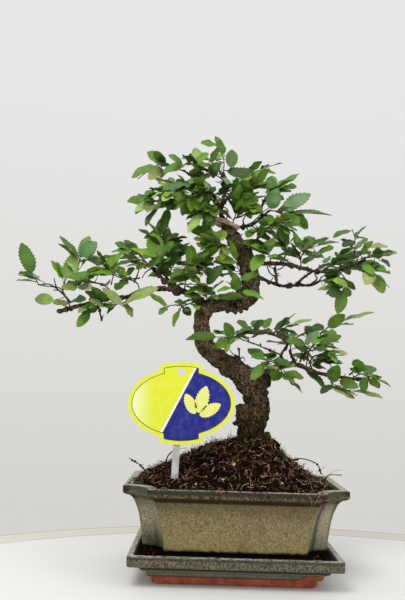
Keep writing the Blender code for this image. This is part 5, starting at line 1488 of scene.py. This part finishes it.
# Bare woody twigs: column, row, depth and width along each
TWIGS = (
    ((71, 303, 4, 2.2), (64, 295, 2, 2.0), (56, 288, 1, 1.6), (48, 284, 0, 1.3), (38, 285, -1, 1.0)),
    ((66, 297, 2, 1.7), (60, 291, -1, 1.4), (53, 290, -2, 1.0)),
    ((57, 289, 1, 1.6), (55, 283, 0, 1.3), (54, 278, 0, 1.0)),
    ((62, 294, 2, 1.6), (64, 286, 3, 1.3), (65, 279, 3, 1.0)),
    ((98, 303, 5, 1.9), (99.5, 311, 4, 1.7), (101.5, 320, 3, 1.5)),
    ((108, 285, 6, 1.9), (96, 283, 5, 1.6), (86, 282, 4, 1.3), (78, 282, 3, 1.0)),
    ((111, 285, 6, 1.7), (113, 277, 5, 1.4), (114, 268, 5, 1.2), (114, 260, 5, 0.9)),
    ((134, 283, 4, 1.8), (137, 276, 3, 1.6), (139, 270, 2, 1.3)),
    ((140, 278, 4, 1.8), (130, 279, 3, 1.5), (120, 277, 3, 1.2)),
    ((145, 262, 2, 1.6), (140, 255, 1, 1.4), (136, 252, 1, 1.1)),
    ((152, 268, 3, 1.6), (146, 272, 2, 1.3), (142, 278, 2, 1.1)),
    ((214, 219, -6, 2.0), (207, 212, -8, 1.7), (201, 211, -9, 1.4), (195, 216, -9, 1.1)),
    ((226, 221, 2, 1.8), (228, 211, 4, 1.5), (222, 206, 5, 1.2), (213, 205, 5, 1.0)),
    ((220, 219, 0, 1.9), (219, 208, 1, 1.7), (217, 199, 2, 1.4)),
    ((236, 218, -4, 1.9), (246, 214, -6, 1.6), (249, 207, -6, 1.4), (256, 201, -6, 1.2)),
    ((244, 226, -5, 1.7), (253, 222, -8, 1.4), (262, 213, -9, 1.2), (270, 207, -9, 0.9)),
    ((248, 230, 2, 1.6), (243, 221, 2, 1.4), (247, 213, 3, 1.2), (244, 205, 3, 0.9)),
    ((268, 230, -8, 1.3), (274, 226, -9, 1.1), (280, 223, -9, 0.8)),
    ((276, 285, -4, 2.2), (276, 276, -5, 1.9), (274, 269, -6, 1.5), (277, 264, -7, 1.2)),
    ((276, 277, -5, 1.6), (270, 273, -5, 1.4), (267, 266, -6, 1.1)),
    ((277, 270, -6, 1.4), (282, 268, -7, 1.2), (285, 264, -7, 0.9)),
    ((311, 284, 2, 1.8), (317, 279, 2, 1.5), (315, 274, 2, 1.3), (321, 270, 3, 1.0)),
    ((319, 281, 2, 1.6), (323, 276, 1, 1.3), (329, 277, 0, 1.1)),
    ((301, 262, 2, 1.6), (300, 253, 1, 1.4), (306, 247, 0, 1.1), (311, 244, 0, 0.8)),
    ((307, 263, 2, 1.6), (309, 255, 2, 1.3), (304, 250, 1, 1.0)),
    ((240, 369, -6, 1.9), (238, 361, -8, 1.6), (239, 353, -9, 1.3), (237, 347, -9, 1.0)),
    ((239, 358, -9, 1.4), (233, 354, -9, 1.1), (230, 350, -10, 0.8)),
    ((238, 361, -8, 1.4), (243, 357, -9, 1.1), (245, 361, -9, 0.8)),
    ((300, 362, -10, 2.4), (303, 355, -11, 2.0), (309, 351, -12, 1.6), (316, 350, -12, 1.2)),
    ((304, 361, -10, 2.0), (302, 352, -12, 1.6), (296, 348, -12, 1.3), (291, 350, -12, 1.0)),
    ((309, 364, -10, 1.9), (313, 357, -11, 1.6), (320, 355, -12, 1.3), (327, 357, -12, 1.0)),
    ((317, 366, -10, 1.7), (322, 361, -10, 1.4), (329, 363, -11, 1.1), (332, 369, -11, 0.8)),
    ((349, 375, -8, 1.8), (355, 371, -9, 1.4), (361, 371, -9, 1.1), (367, 368, -9, 0.8)),
    ((357, 378, -8, 2.6), (364, 379, -8, 2.5), (369, 380, -8, 2.2)),
    ((366, 379, -8, 1.6), (372, 376, -9, 1.3), (382, 377, -9, 0.9)),
    ((196, 303, 0, 2.4), (190, 296, -2, 2.0), (183, 292, -3, 1.5), (176, 290, -3, 1.1)),
    ((190, 299, -1, 1.8), (182, 303, -3, 1.4), (177, 306, -3, 1.0)),
)


def model_trunk(bark, branch_bark, twig, cut):
    """Trunk, burls and root flare grown together and roughened, with branches, bare twigs and the old cut."""
    draw = random.Random(BARK_SEED)
    stems = [smooth_run(run_of(marks), 4) for marks in (*TRUNK_LIMBS, STUMP)]
    stems += [smooth_run(run_of(marks[:3]), 3) for marks in THICK_BRANCHES[1:]]
    stems += [smooth_run(run_of(marks), 4) for marks in FLARES]
    core = tubes("trunk_core", [weathered([(at, wide * 0.98) for at, wide in run], draw) for run in stems], 4)
    grown = [core]
    for column, row, depth, width in BURLS:
        grown.append(ball(width / 2 * scale_at(depth) * 0.9, seen(column, row, depth), draw, (0.75, 1.15)))
    trunk = join(grown, "trunk_bark")
    finish_with(trunk, "REMESH", mode="VOXEL", voxel_size=0.00085)
    finish_with(trunk, "SMOOTH", factor=0.5, iterations=5)
    roughen(trunk, "knobs", 0.0085, 0.0052)
    roughen(trunk, "flakes", 0.0030, 0.0030)
    shade(wear(trunk, bark), 60)

    thick = THICK_BRANCHES[2:]
    branches = [weathered(smooth_run(run_of(marks), 8), draw, 0.20) for marks in thick]
    branches += [weathered([(at, wide * 0.95) for at, wide in smooth_run(run_of(marks), 8)], draw, 0.22)
                 for marks in THIN_BRANCHES]
    stub = weathered(smooth_run(run_of(THICK_BRANCHES[1]), 4), draw, 0.06)
    collar = run_of(((207, 218, -7, 7.4), (203, 216, -8, 7.2), (202, 215.5, -8, 6.0)))
    top = weathered(smooth_run(run_of(TOP_STUB), 4), draw, 0.10)
    bare = [weathered(smooth_run(run_of(marks), 4), draw, 0.16) for marks in TWIGS]
    for _ in range(BARE_TWIGS):
        run = draw.choice(branches)
        at, wide = draw.choice(run[2:])
        way = Vector([draw.gauss(0, 1) for _ in range(3)]).normalized()
        way.z = abs(way.z) * 0.8
        reach = draw.uniform(0.003, 0.010)
        line = [(at, 0.0006), (at + way * reach * 0.5, 0.0005)]
        line.append((at + way * reach + Vector([draw.gauss(0, 0.001) for _ in range(3)]), 0.00032))
        bare.append(smooth_run(line, 3))
    knotted = [tubes("limbs", branches, 2)]
    for _ in range(KNOTS):
        at, wide = draw.choice(draw.choice(branches)[1:])
        radius = wide * draw.uniform(1.0, 1.5) + 0.0002
        place = at + Vector([draw.gauss(0, wide * 0.4) for _ in range(3)])
        knotted.append(ball(radius, place, draw, (0.7, 1.2), turned=False))
    limbs_mesh = join(knotted, "limbs")
    roughen(limbs_mesh, "bumps", 0.0024, 0.0011)
    shade(wear(limbs_mesh, branch_bark), 60)
    twigs = wear(tubes("twigs", bare), twig)
    cut_wood = shade(wear(tubes("cut", [stub, top, collar], 2), cut), 60)
    return join([trunk, limbs_mesh, twigs, cut_wood], "trunk_bark")


def on_soil(tree, x, y):
    """The soil's surface point and slope above this place, or nothing."""
    place, normal, _, _ = tree.ray_cast(Vector((x, y, 0.2)), Vector((0, 0, -1)))
    return (place, normal) if place and place.z > 0.070 and normal.z > 0.05 else None


def laid(place, normal, turn, size, lift=0.0):
    """Where a loose thing lies: on the surface, turned and scaled."""
    lean = Vector((0, 0, 1)).rotation_difference(normal).to_matrix()
    spun = lean @ Matrix.Rotation(turn, 3, "Z")
    matrix = (spun @ Matrix.Diagonal(Vector((size, size, size)))).to_4x4()
    matrix.translation = place + normal * lift
    return matrix


def tilted(normal, draw, spread):
    """The normal, tipped at random."""
    return (normal + Vector([draw.gauss(0, spread) for _ in range(3)])).normalized()


STRANDS = 8


def model_strands(draw, finish):
    """Some fibres, 6 to 9 mm long, each curled its own way."""
    strands = []
    for number in range(STRANDS):
        way = draw.uniform(-0.6, 0.6)
        curl = draw.choice((-1, 1)) * draw.uniform(0.1, 0.9)
        thick = draw.uniform(0.00020, 0.00030)
        points = []
        at = Vector((-0.0036, 0, -0.0003))
        for step in range(5):
            points.append((at.copy(), thick * (1 - 0.14 * step)))
            way += curl + draw.uniform(-0.5, 0.5)
            stride = draw.uniform(0.0014, 0.0022)
            at += Vector((math.cos(way) * stride, math.sin(way) * stride, draw.uniform(-0.0003, 0.0010)))
        strand = tubes(f"strand_{number}", [smooth_run(points, 2)])
        strands.append(shade(wear(strand, finish), 60))
    return strands


# Lumps strewn over the soil, and the seed they are drawn from
LUMPS, LUMP_SEED = 190, 91
# Lumps round the trunk's foot: column, row and depth
COLLAR = ((240, 446, -16), (244, 443, -20), (250, 441, -22), (256, 443, -24), (262, 446, -22),
          (267, 448, -17), (247, 450, -26), (254, 452, -29), (260, 452, -28), (236, 452, -14), (270, 452, -8),
          (238, 448, -4),
          (242, 440, -15), (252, 446, -25), (265, 443, -14), (237, 439, -9), (233, 443, -8), (230, 447, -6),
          (271, 440, -5), (276, 441, -3), (279, 445, -2), (274, 446, -8))


def model_soil(earth):
    """The soil's solid with lumps on it and a collar round the trunk, grown together and roughened."""
    draw = random.Random(LUMP_SEED)
    soil = shown("soil_peat", bpy.data.objects["soil"].data.copy())
    start_edit(soil)
    bpy.ops.mesh.select_all(action="SELECT")
    bpy.ops.mesh.remove_doubles(threshold=1e-5)
    end_edit()
    tree = BVHTree.FromObject(soil, bpy.context.evaluated_depsgraph_get())
    spots = strewn(tree, draw, LUMPS, lambda place, normal: place)
    grown = [soil]
    for at in spots + [seen(*mark) for mark in COLLAR]:
        wide = draw.uniform(0.0020, 0.0044)
        grown.append(ball(wide, at - Vector((0, 0, wide * 0.55)), draw, (0.6, 1.3)))
    join(grown, "soil_peat")
    finish_with(soil, "REMESH", mode="VOXEL", voxel_size=0.0012)
    finish_with(soil, "SMOOTH", factor=0.5, iterations=2)
    roughen(soil, "clods", 0.009, 0.0044, 0.58)
    roughen(soil, "crumbs", 0.0036, 0.0036, 0.58)
    return shade(wear(named(soil, "soil_peat"), earth), 50)


def strewn(tree, draw, count, place_of, above=0.0):
    """Spots on the soil above this height, drawn until there are enough, each made from place and slope."""
    spots = []
    while len(spots) < count:
        x = draw.uniform(-POT_LENGTH / 2 + 0.010, POT_LENGTH / 2 - 0.010)
        y = draw.uniform(-POT_WIDTH / 2 + 0.010, POT_WIDTH / 2 - 0.010)
        hit = on_soil(tree, x, y)
        if hit and hit[0].z > above:
            spots.append(place_of(*hit))
    return spots


# Fine roots that stand out of the soil or hang over the rim: column, row, depth and width
ROOTLETS = (
    ((319, 470, -9, 1.3), (326, 478, -12, 0.9), (334, 480, -14, 0.5)),
    ((328, 476, -4, 1.3), (334, 471, -6, 0.8), (343, 470, -8, 0.4)),
    ((176, 452, -30, 1.6), (181, 448.5, -32, 1.4), (188, 448, -33, 1.0)),
    ((148, 479, -12, 1.6), (142, 480, -20, 1.2), (137, 486, -26, 0.7)),
    ((222, 488, -60, 2.0), (219, 489, -73, 2.0), (222, 495, -78.5, 1.8), (227, 502, -79, 1.1)),
    ((302, 491, -58, 2.0), (303, 491, -74, 2.0), (310, 498, -78.5, 1.8), (312, 507, -78.5, 1.1)),
    ((322, 495, -52, 2.0), (322, 492, -73, 1.9), (317, 500, -78.5, 1.7), (313, 508, -78.5, 1.0)),
    ((262, 470, -44, 1.4), (270, 476, -52, 1.2), (281, 474, -54, 1.0), (288, 480, -60, 0.6)),
    ((200, 470, -40, 1.4), (192, 478, -50, 1.2), (184, 476, -52, 1.0), (176, 484, -60, 0.6)),
    ((240, 452, -28, 1.3), (232, 462, -40, 1.2), (236, 472, -50, 1.0), (228, 480, -58, 0.6)),
)


# Where fibres hang over the lip: column, and how many
LIP_TANGLES = ((221, 7), (307, 4), (320, 6), (262, 1))


def fibre_spot(draw, place, normal, spread, sizes, lift=0.0):
    """A fibre picked at random, and how it lies here."""
    number = draw.randrange(STRANDS)
    lean = tilted(normal, draw, spread)
    turn = draw.uniform(0, math.tau)
    return number, laid(place, lean, turn, draw.uniform(*sizes), lift)


def crumb_spot(draw, place, normal, sizes):
    """How a crumb lies here."""
    turn = draw.uniform(0, 6)
    return 0, laid(place, normal, turn, draw.uniform(*sizes))


def over_lip(seed):
    """Fibres that lie against the front of the pot's lip."""
    draw = random.Random(seed)
    spots = []
    for column, count in LIP_TANGLES:
        middle = seen(column, 496, -77)
        for _ in range(count):
            across = draw.gauss(middle.x, 0.0026)
            place = Vector((across, -POT_WIDTH / 2 - 0.0002, POT_TOP - draw.uniform(0, 0.009)))
            spots.append(fibre_spot(draw, place, Vector((0, -1, 0)), 0.15, (0.6, 1.1)))
    return spots


# Pale chips on the soil: column, row and size
CHIPS = ((234, 465, 2.3), (223, 480, 1.5), (246, 471, 1.0), (212, 461, 1.1), (262, 478, 0.9), (206, 477, 1.0),
         (282, 484, 1.5), (196, 484, 1.1), (190, 470, 0.9), (268, 466, 0.9), (242, 452, 1.1), (252, 486, 0.8))


# Fibres on the soil: tone, how many, how many more stand up near the trunk, how many lie in the tray, and the
# seed of those that hang over the lip
FIBRES = (("red", 1150, 0, 80, 82), ("dark", 900, 0, 0, 83), ("tan", 480, 150, 0, None),
          ("olive", 320, 150, 0, None))
PALE_FIBRES = 190
NEAR_TRUNK = 0.104
# Crumbs of peat: how many lie on the soil, on the pot's long sides, on its left side and in the tray
CRUMBS, SIDE_CRUMBS, LEFT_CRUMBS, TRAY_CRUMBS = 900, 120, 34, 150
MOSS_TUFTS = 400
LITTER_SEED = 81
LEVEL = Vector((0, 0, 1))


def model_fibres(tree, draw, finishes):
    """Curled fibres of four tones, on the soil, upright near the trunk, in the tray and over the lip."""
    pieces = []
    models = model_strands(draw, finishes["red"])
    for name, count, upright, fallen, lip_seed in FIBRES:
        for model in models:
            wear(model, finishes[name])
        spots = strewn(tree, draw, count,
                       lambda place, normal: fibre_spot(draw, place, normal, 0.5, (0.6, 1.3), 0.0003))
        spots += strewn(tree, draw, upright,
                        lambda place, normal: fibre_spot(draw, place, normal, 1.0, (0.7, 1.4), 0.0006),
                        NEAR_TRUNK)
        for _ in range(fallen):
            side = draw.choice((-1, 1))
            place = Vector((side * draw.uniform(0.070, 0.083), draw.uniform(-0.05, 0.04), TRAY_FLOOR + 0.001))
            spots.append(fibre_spot(draw, place, LEVEL, 0.3, (0.6, 1.2)))
        if lip_seed:
            spots += over_lip(lip_seed)
        pieces.append(shade(wear(scattered(f"fibres_{name}", models, spots), finishes[name]), 60))
    discard(*models)
    return pieces


def model_crumbs(tree, draw, earth):
    """Crumbs of peat on the soil, on the pot's rim and in the tray."""
    bpy.ops.mesh.primitive_ico_sphere_add(subdivisions=1, radius=0.001)
    grain = bpy.context.object
    for vertex in grain.data.vertices:
        vertex.co *= draw.uniform(0.7, 1.2)
    spots = strewn(tree, draw, CRUMBS, lambda place, normal: crumb_spot(draw, place, normal, (0.5, 1.5)))
    for _ in range(SIDE_CRUMBS):
        side = draw.choice((-1, 1))
        along = draw.uniform(-0.07, 0.075)
        place = Vector((along, side * (POT_WIDTH / 2 - draw.uniform(0.003, 0.0075)), POT_TOP))
        spots.append(crumb_spot(draw, place, LEVEL, (0.25, 0.6)))
    for _ in range(LEFT_CRUMBS):
        place = Vector((-POT_LENGTH / 2 + draw.uniform(0.003, 0.0075), draw.uniform(-0.048, 0.0), POT_TOP))
        spots.append(crumb_spot(draw, place, LEVEL, (0.3, 0.8)))
    for _ in range(TRAY_CRUMBS):
        side = draw.choice((-1, 1))
        place = Vector((side * draw.uniform(0.070, 0.082), draw.uniform(-0.05, 0.05), TRAY_FLOOR + 0.0004))
        spots.append(crumb_spot(draw, place, LEVEL, (0.6, 1.7)))
    crumbs = shade(wear(scattered("crumbs_peat", [grain], spots), earth), 30)
    discard(grain)
    return crumbs


def model_moss(tree, draw, finish):
    """Small upright tufts in clumps, most of them beside the trunk."""
    bpy.ops.mesh.primitive_cone_add(vertices=4, radius1=0.0004, radius2=0, depth=0.0036,
                                    location=(0, 0, 0.0014))
    tuft = settle(bpy.context.object)
    clumps = [seen(290, 457, -8), seen(248, 449, -22), seen(258, 452, -24), seen(136, 478, -40),
              seen(272, 458, -12), seen(283, 485, -60), seen(285, 459, -4), seen(285, 457, -8),
              Vector((0.03, 0.03, 0.12)), Vector((-0.05, 0.02, 0.1)), Vector((0.06, -0.02, 0.1))]
    spots = []
    for number in range(MOSS_TUFTS):
        middle = clumps[number % len(clumps)]
        hit = on_soil(tree, draw.gauss(middle.x, 0.0045), draw.gauss(middle.y, 0.0045))
        if hit:
            spots.append((0, laid(hit[0], tilted(hit[1], draw, 0.5), 0, draw.uniform(0.5, 1.2))))
    moss = wear(scattered("moss_tufts", [tuft], spots), finish)
    discard(tuft)
    return moss


def model_roots(name, roots, slimmer, draw, finish):
    """Roots in the air, this much slimmer than their marks."""
    lines = []
    for marks in roots:
        run = run_of([(column, row, depth, thickness * slimmer) for column, row, depth, thickness in marks])
        lines.append(weathered(smooth_run(run, 6), draw, 0.06))
    return shade(wear(tubes(name, lines, 1), finish), 60)


def model_chips(tree, draw, finish):
    """Flat pale chips, each where its mark shows on the soil."""
    bpy.ops.mesh.primitive_ico_sphere_add(subdivisions=2, radius=0.001)
    chip = bpy.context.object
    for vertex in chip.data.vertices:
        vertex.co *= draw.uniform(0.75, 1.1)
        vertex.co.z *= 0.5
    spots = []
    for column, row, size in CHIPS:
        place, normal, _, _ = tree.ray_cast(EYE, (seen(column, row, 0) - EYE).normalized())
        if place:
            spots.append((0, laid(place, tilted(normal, draw, 0.2), draw.uniform(0, 6), size, 0.0006)))
    chips = shade(wear(scattered("chips_pale", [chip], spots), finish), 50)
    discard(chip)
    return chips


def model_litter(soil, finishes):
    """What lies on the soil: fibres of five tones, crumbs of peat, moss, pale chips and stray roots."""
    draw = random.Random(LITTER_SEED)
    tree = BVHTree.FromObject(soil, bpy.context.evaluated_depsgraph_get())
    pieces = model_fibres(tree, draw, finishes)
    pieces.append(model_crumbs(tree, draw, finishes["earth"]))
    pieces.append(model_moss(tree, draw, finishes["moss"]))
    pieces.append(model_roots("roots_dry", ROOTS, 0.66, draw, finishes["dry"]))
    pieces.append(model_roots("roots_stray", ROOTLETS, 0.44, draw, finishes["root"]))
    pieces.append(model_chips(tree, draw, finishes["chip"]))
    models = model_strands(draw, finishes["pale"])
    spots = strewn(tree, draw, PALE_FIBRES,
                   lambda place, normal: fibre_spot(draw, place, normal, 0.4, (0.5, 1.0), 0.0011))
    pieces.append(shade(wear(scattered("fibres_pale", models, spots), finishes["pale"]), 60))
    discard(*models)
    return pieces


# The card's fields, from yellow over a white stripe to blue: which way they follow, and where one ends
FIELD_WAY = Vector((0.88, -0.47, 0)).normalized()
FIELD_ENDS = (-0.0046, -0.0026)
# A fan of three plain leaves on the blue field: their turn, foot, length and width
MOTIF = ((-62, (0.0165, -0.0110), 0.0215, 0.0105), (-18, (0.0150, -0.0085), 0.0250, 0.0120),
         (26, (0.0125, -0.0095), 0.0200, 0.0100))


def within_border(at):
    """Whether this place on the card is inside its border and line."""
    inset = CARD_BORDER + CARD_LINE
    return (at.x / (LABEL_HALF_WIDTH - inset)) ** 2 + (at.y / (LABEL_HALF_HEIGHT - inset)) ** 2 < 1


def card_frame():
    """The card's own space: X right, Y up, Z out of its face, from the middle of its face."""
    middle = seen(*LABEL_MIDDLE, LABEL_DEPTH)
    right = (seen(*LABEL_RIGHT, LABEL_DEPTH) - seen(*LABEL_LEFT, LABEL_DEPTH)).normalized()
    back = Vector((0, 1, 0))
    return framed(right, right.cross(back), -back, middle)


def print_over(obj, finish):
    obj.active_material_index = finish
    bpy.ops.object.material_slot_assign()


def model_card(*inks):
    """An oval card with a tab above and below, a border and line, three slanting fields and a round hole.
    Its inks: border yellow, line, stripe white, blue, field yellow."""
    bpy.ops.object.select_all(action="DESELECT")
    bpy.ops.mesh.primitive_circle_add(vertices=92, radius=1, fill_type="NGON", location=(0, 0, 0))
    card = wear(named(bpy.context.object, "label_card"), *inks)
    start_edit(card)
    bpy.ops.mesh.select_all(action="SELECT")
    bpy.ops.transform.resize(value=(LABEL_HALF_WIDTH, LABEL_HALF_HEIGHT, 1))
    bpy.ops.mesh.select_mode(type="EDGE")
    for side in (-1, 1):
        choose(card, "edges", lambda at: abs(at.x) < TAB_HALF_WIDTH and at.y * side > 0.02)
        bpy.ops.mesh.extrude_region_move(TRANSFORM_OT_translate={"value": (0, side * TAB_RISE, 0)})
    bpy.ops.mesh.select_mode(type="FACE")
    bpy.ops.mesh.select_all(action="SELECT")
    bpy.ops.mesh.dissolve_faces()
    bpy.ops.mesh.select_all(action="SELECT")
    bpy.ops.mesh.normals_make_consistent(inside=False)
    bpy.ops.mesh.inset(thickness=CARD_BORDER, use_even_offset=True)
    print_over(card, 1)
    bpy.ops.mesh.inset(thickness=CARD_LINE, use_even_offset=True)
    print_over(card, 0)
    for end in FIELD_ENDS:
        choose(card, "faces", within_border)
        bpy.ops.mesh.bisect(plane_co=FIELD_WAY * end, plane_no=FIELD_WAY)
    choose(card, "faces", lambda at: within_border(at) and at.dot(FIELD_WAY) < FIELD_ENDS[0])
    print_over(card, 4)
    choose(card, "faces", lambda at: within_border(at) and FIELD_ENDS[0] < at.dot(FIELD_WAY) < FIELD_ENDS[1])
    print_over(card, 2)
    choose(card, "faces", lambda at: within_border(at) and at.dot(FIELD_WAY) > FIELD_ENDS[1])
    print_over(card, 3)
    end_edit()
    finish_with(card, "SOLIDIFY", thickness=LABEL_THICKNESS, offset=-1)
    bpy.ops.mesh.primitive_cylinder_add(vertices=40, radius=HOLE_RADIUS, depth=0.01,
                                        location=(0, HOLE_RISE, 0))
    hole = settle(bpy.context.object)
    finish_with(card, "BOOLEAN", operation="DIFFERENCE", object=hole, solver="EXACT")
    discard(hole)
    card.matrix_world = card_frame()
    return shade(settle(card), 30)


def model_motif(blade, ink):
    """Three plain leaves printed on the card's blue field."""
    spots = []
    for turn, foot, length, width in MOTIF:
        matrix = Matrix.Translation((*foot, 0.00022)) @ Matrix.Rotation(math.radians(turn), 4, "Z")
        spots.append((0, card_frame() @ matrix @ Matrix.Diagonal((width, length, 0.0002, 1))))
    return shade(wear(scattered("label_leaves", [blade], spots), ink), 30)


def model_stake(plastic):
    """A strip with a pointed foot, its edges eased."""
    depth = LABEL_DEPTH + (LABEL_THICKNESS + GAP + STAKE_THICKNESS / 2) / MM
    top, foot = seen(*STAKE_TOP, depth), seen(*STAKE_FOOT, depth)
    down = (foot - top).normalized()
    straight = (foot - top).length - STAKE_POINT
    bpy.ops.object.select_all(action="DESELECT")
    bpy.ops.mesh.primitive_cube_add(size=1, location=(0, 0, 0))
    stake = named(bpy.context.object, "label_stake_strip")
    start_edit(stake)
    bpy.ops.mesh.select_all(action="SELECT")
    bpy.ops.transform.resize(value=(STAKE_WIDTH, STAKE_THICKNESS, straight))
    bpy.ops.transform.translate(value=(0, 0, -straight / 2))
    bpy.ops.mesh.select_mode(type="FACE")
    choose(stake, "faces", lambda at: at.z < -straight + 1e-6)
    bpy.ops.mesh.extrude_region_move(TRANSFORM_OT_translate={"value": (0, 0, -STAKE_POINT)})
    bpy.ops.transform.resize(value=(2 * STAKE_TIP / STAKE_WIDTH, 1, 1))
    end_edit()
    finish_with(stake, "BEVEL", width=0.00035, segments=2, limit_method="ANGLE", angle_limit=math.radians(40))
    back = Vector((0, 1, 0))
    stake.matrix_world = framed(down.cross(back), back, -down, top)
    return shade(wear(settle(stake), plastic), 40)


# The round table: its middle, its white top's radius, and the widths of its edge bands
TABLE_MIDDLE, TABLE_RADIUS = (0.051, -0.317), 0.4921
TABLE_BANDS = ((0.0020, 1), (0.0330, 2), (0.0024, 1))


def set_table():
    """A round white table top with a beige edge band between thin grey lines."""
    finishes = (stage_finish("table_white", dye(229, 229, 226), dye(223, 223, 219)),
                stage_finish("table_line", dye(178, 172, 160), dye(170, 164, 152)),
                stage_finish("table_band", dye(218, 213, 202), dye(212, 207, 196)))
    bpy.ops.object.select_all(action="DESELECT")
    outer = TABLE_RADIUS + sum(width for width, _ in TABLE_BANDS)
    bpy.ops.mesh.primitive_cylinder_add(vertices=180, radius=outer, depth=0.02,
                                        location=(*TABLE_MIDDLE, -0.0101))
    table = wear(named(bpy.context.object, "table_top"), *finishes)
    start_edit(table)
    bpy.ops.mesh.select_mode(type="FACE")
    choose(table, "faces", lambda at: at.z > 0.0099)
    for width, finish in TABLE_BANDS[::-1]:
        print_over(table, finish)
        bpy.ops.mesh.inset(thickness=width)
    print_over(table, 0)
    end_edit()


def set_light(name, place, aim, size, power, colour):
    light = bpy.data.lights.new(name, "AREA")
    light.shape = "DISK"
    light.size = size
    light.energy = power
    light.color = colour
    holder = shown(name, light)
    holder.location = place
    holder.rotation_euler = (Vector(aim) - Vector(place)).to_track_quat("-Z", "Y").to_euler()


# The room's light by how high one looks: from which rise to which it changes, and its tones
ROOM_SPAN = (-0.16, 0.42)
ROOM_TONES = ((213, 212, 208), (225, 224, 221), (232, 232, 232))


def set_room():
    """A pale room that is a little darker low down, and two soft lamps."""
    world = bpy.data.worlds.new("pale_room")
    world.use_nodes = True
    bpy.context.scene.world = world
    tree = world.node_tree
    place = tree.nodes.new("ShaderNodeTexCoord")
    axes = tree.nodes.new("ShaderNodeSeparateXYZ")
    ramp = tree.nodes.new("ShaderNodeValToRGB")
    span = tree.nodes.new("ShaderNodeMapRange")
    span.inputs["From Min"].default_value = ROOM_SPAN[0]
    span.inputs["From Max"].default_value = ROOM_SPAN[1]
    ramp.color_ramp.elements[0].color = dye(*ROOM_TONES[0])
    ramp.color_ramp.elements[1].color = dye(*ROOM_TONES[-1])
    middle = ramp.color_ramp.elements.new(0.5)
    middle.color = dye(*ROOM_TONES[1])
    tree.links.new(place.outputs["Generated"], axes.inputs[0])
    tree.links.new(axes.outputs["Z"], span.inputs["Value"])
    tree.links.new(span.outputs["Result"], ramp.inputs["Fac"])
    tree.links.new(ramp.outputs["Color"], tree.nodes["Background"].inputs["Color"])
    set_light("key_lamp", (-0.35, -0.75, 1.10), (0, 0, 0.2), 0.6, 8.5, (1, 0.985, 0.96))
    set_light("fill_lamp", (0.9, -0.6, 0.7), (0, 0, 0.15), 0.9, 3, (0.96, 0.98, 1))
    bpy.context.scene.view_settings.view_transform = "Standard"


def set_camera():
    """At the elevation's eye, along its view."""
    lens = bpy.data.cameras.new("camera")
    lens.sensor_width = SENSOR
    lens.lens = SENSOR * REACH / PICTURE_HEIGHT
    camera = shown("camera", lens)
    right, away, up = VIEW.transposed()
    camera.matrix_world = framed(right, up, -away, EYE)
    bpy.context.scene.camera = camera


def place_piece(piece, slot, *nodes):
    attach(piece, ROOT)
    if nodes:
        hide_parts(*nodes)


def main():
    bpy.ops.object.select_all(action="DESELECT")
    set_camera()
    set_room()
    set_table()

    place_piece(model_tray(tray_finish()), "tray_glaze", "tray")
    place_piece(model_pot(pot_finish()), "pot_glaze", "pot")

    twig = twig_finish()
    trunk = model_trunk(bark_finish("trunk_bark", 1), bark_finish("branch_bark", 0.62), twig, wood_finish())
    place_piece(trunk, "bark", "trunk")

    blade = model_blade(leaf_finish("leaf_over", True), leaf_finish("leaf_under", False))
    for piece, node in model_sprays(blade, twig):
        place_piece(piece, "leaf", node)

    soil = model_soil(earth_finish())
    place_piece(soil, "soil", "soil")
    fibres = {
        "earth": soil.data.materials[0],
        "red": fibre_finish("root_fibre", dye(66, 36, 25), dye(146, 92, 70)),
        "dark": fibre_finish("dark_fibre", dye(6, 5, 4), dye(30, 21, 16)),
        "tan": fibre_finish("pale_fibre", dye(104, 80, 64), dye(188, 156, 134)),
        "olive": fibre_finish("olive_fibre", dye(52, 50, 20), dye(116, 110, 54)),
        "pale": fibre_finish("dead_fibre", dye(150, 122, 108), dye(226, 202, 188)),
        "moss": fibre_finish("moss", dye(52, 54, 22), dye(104, 106, 50), 0.002),
        "root": fibre_finish("root_skin", dye(74, 50, 37), dye(150, 118, 94), 0.0022),
        "chip": fibre_finish("pale_chip", dye(128, 134, 84), dye(190, 194, 140), 0.0012),
        "dry": fibre_finish("dry_root", dye(26, 18, 14), dye(70, 50, 38), 0.0022),
    }
    for piece in model_litter(soil, fibres):
        place_piece(piece, "soil")

    yellow = print_finish("card_yellow", dye(212, 219, 52), 0.06)
    pale_yellow = print_finish("card_yellow_pale", dye(212, 219, 40), 0.06, -0.080)
    line = print_finish("card_line", dye(30, 30, 48))
    white = print_finish("card_white", dye(232, 234, 206), 0.3)
    blue = print_finish("card_blue", dye(17, 26, 122), 0.03)
    place_piece(model_card(yellow, line, white, blue, pale_yellow), "label_print", "label_plate")
    place_piece(model_motif(blade, print_finish("card_pale", dye(218, 222, 116))), "label_print")
    place_piece(model_stake(stake_finish()), "label_stake", "label_stake")
    discard(blade)


main()
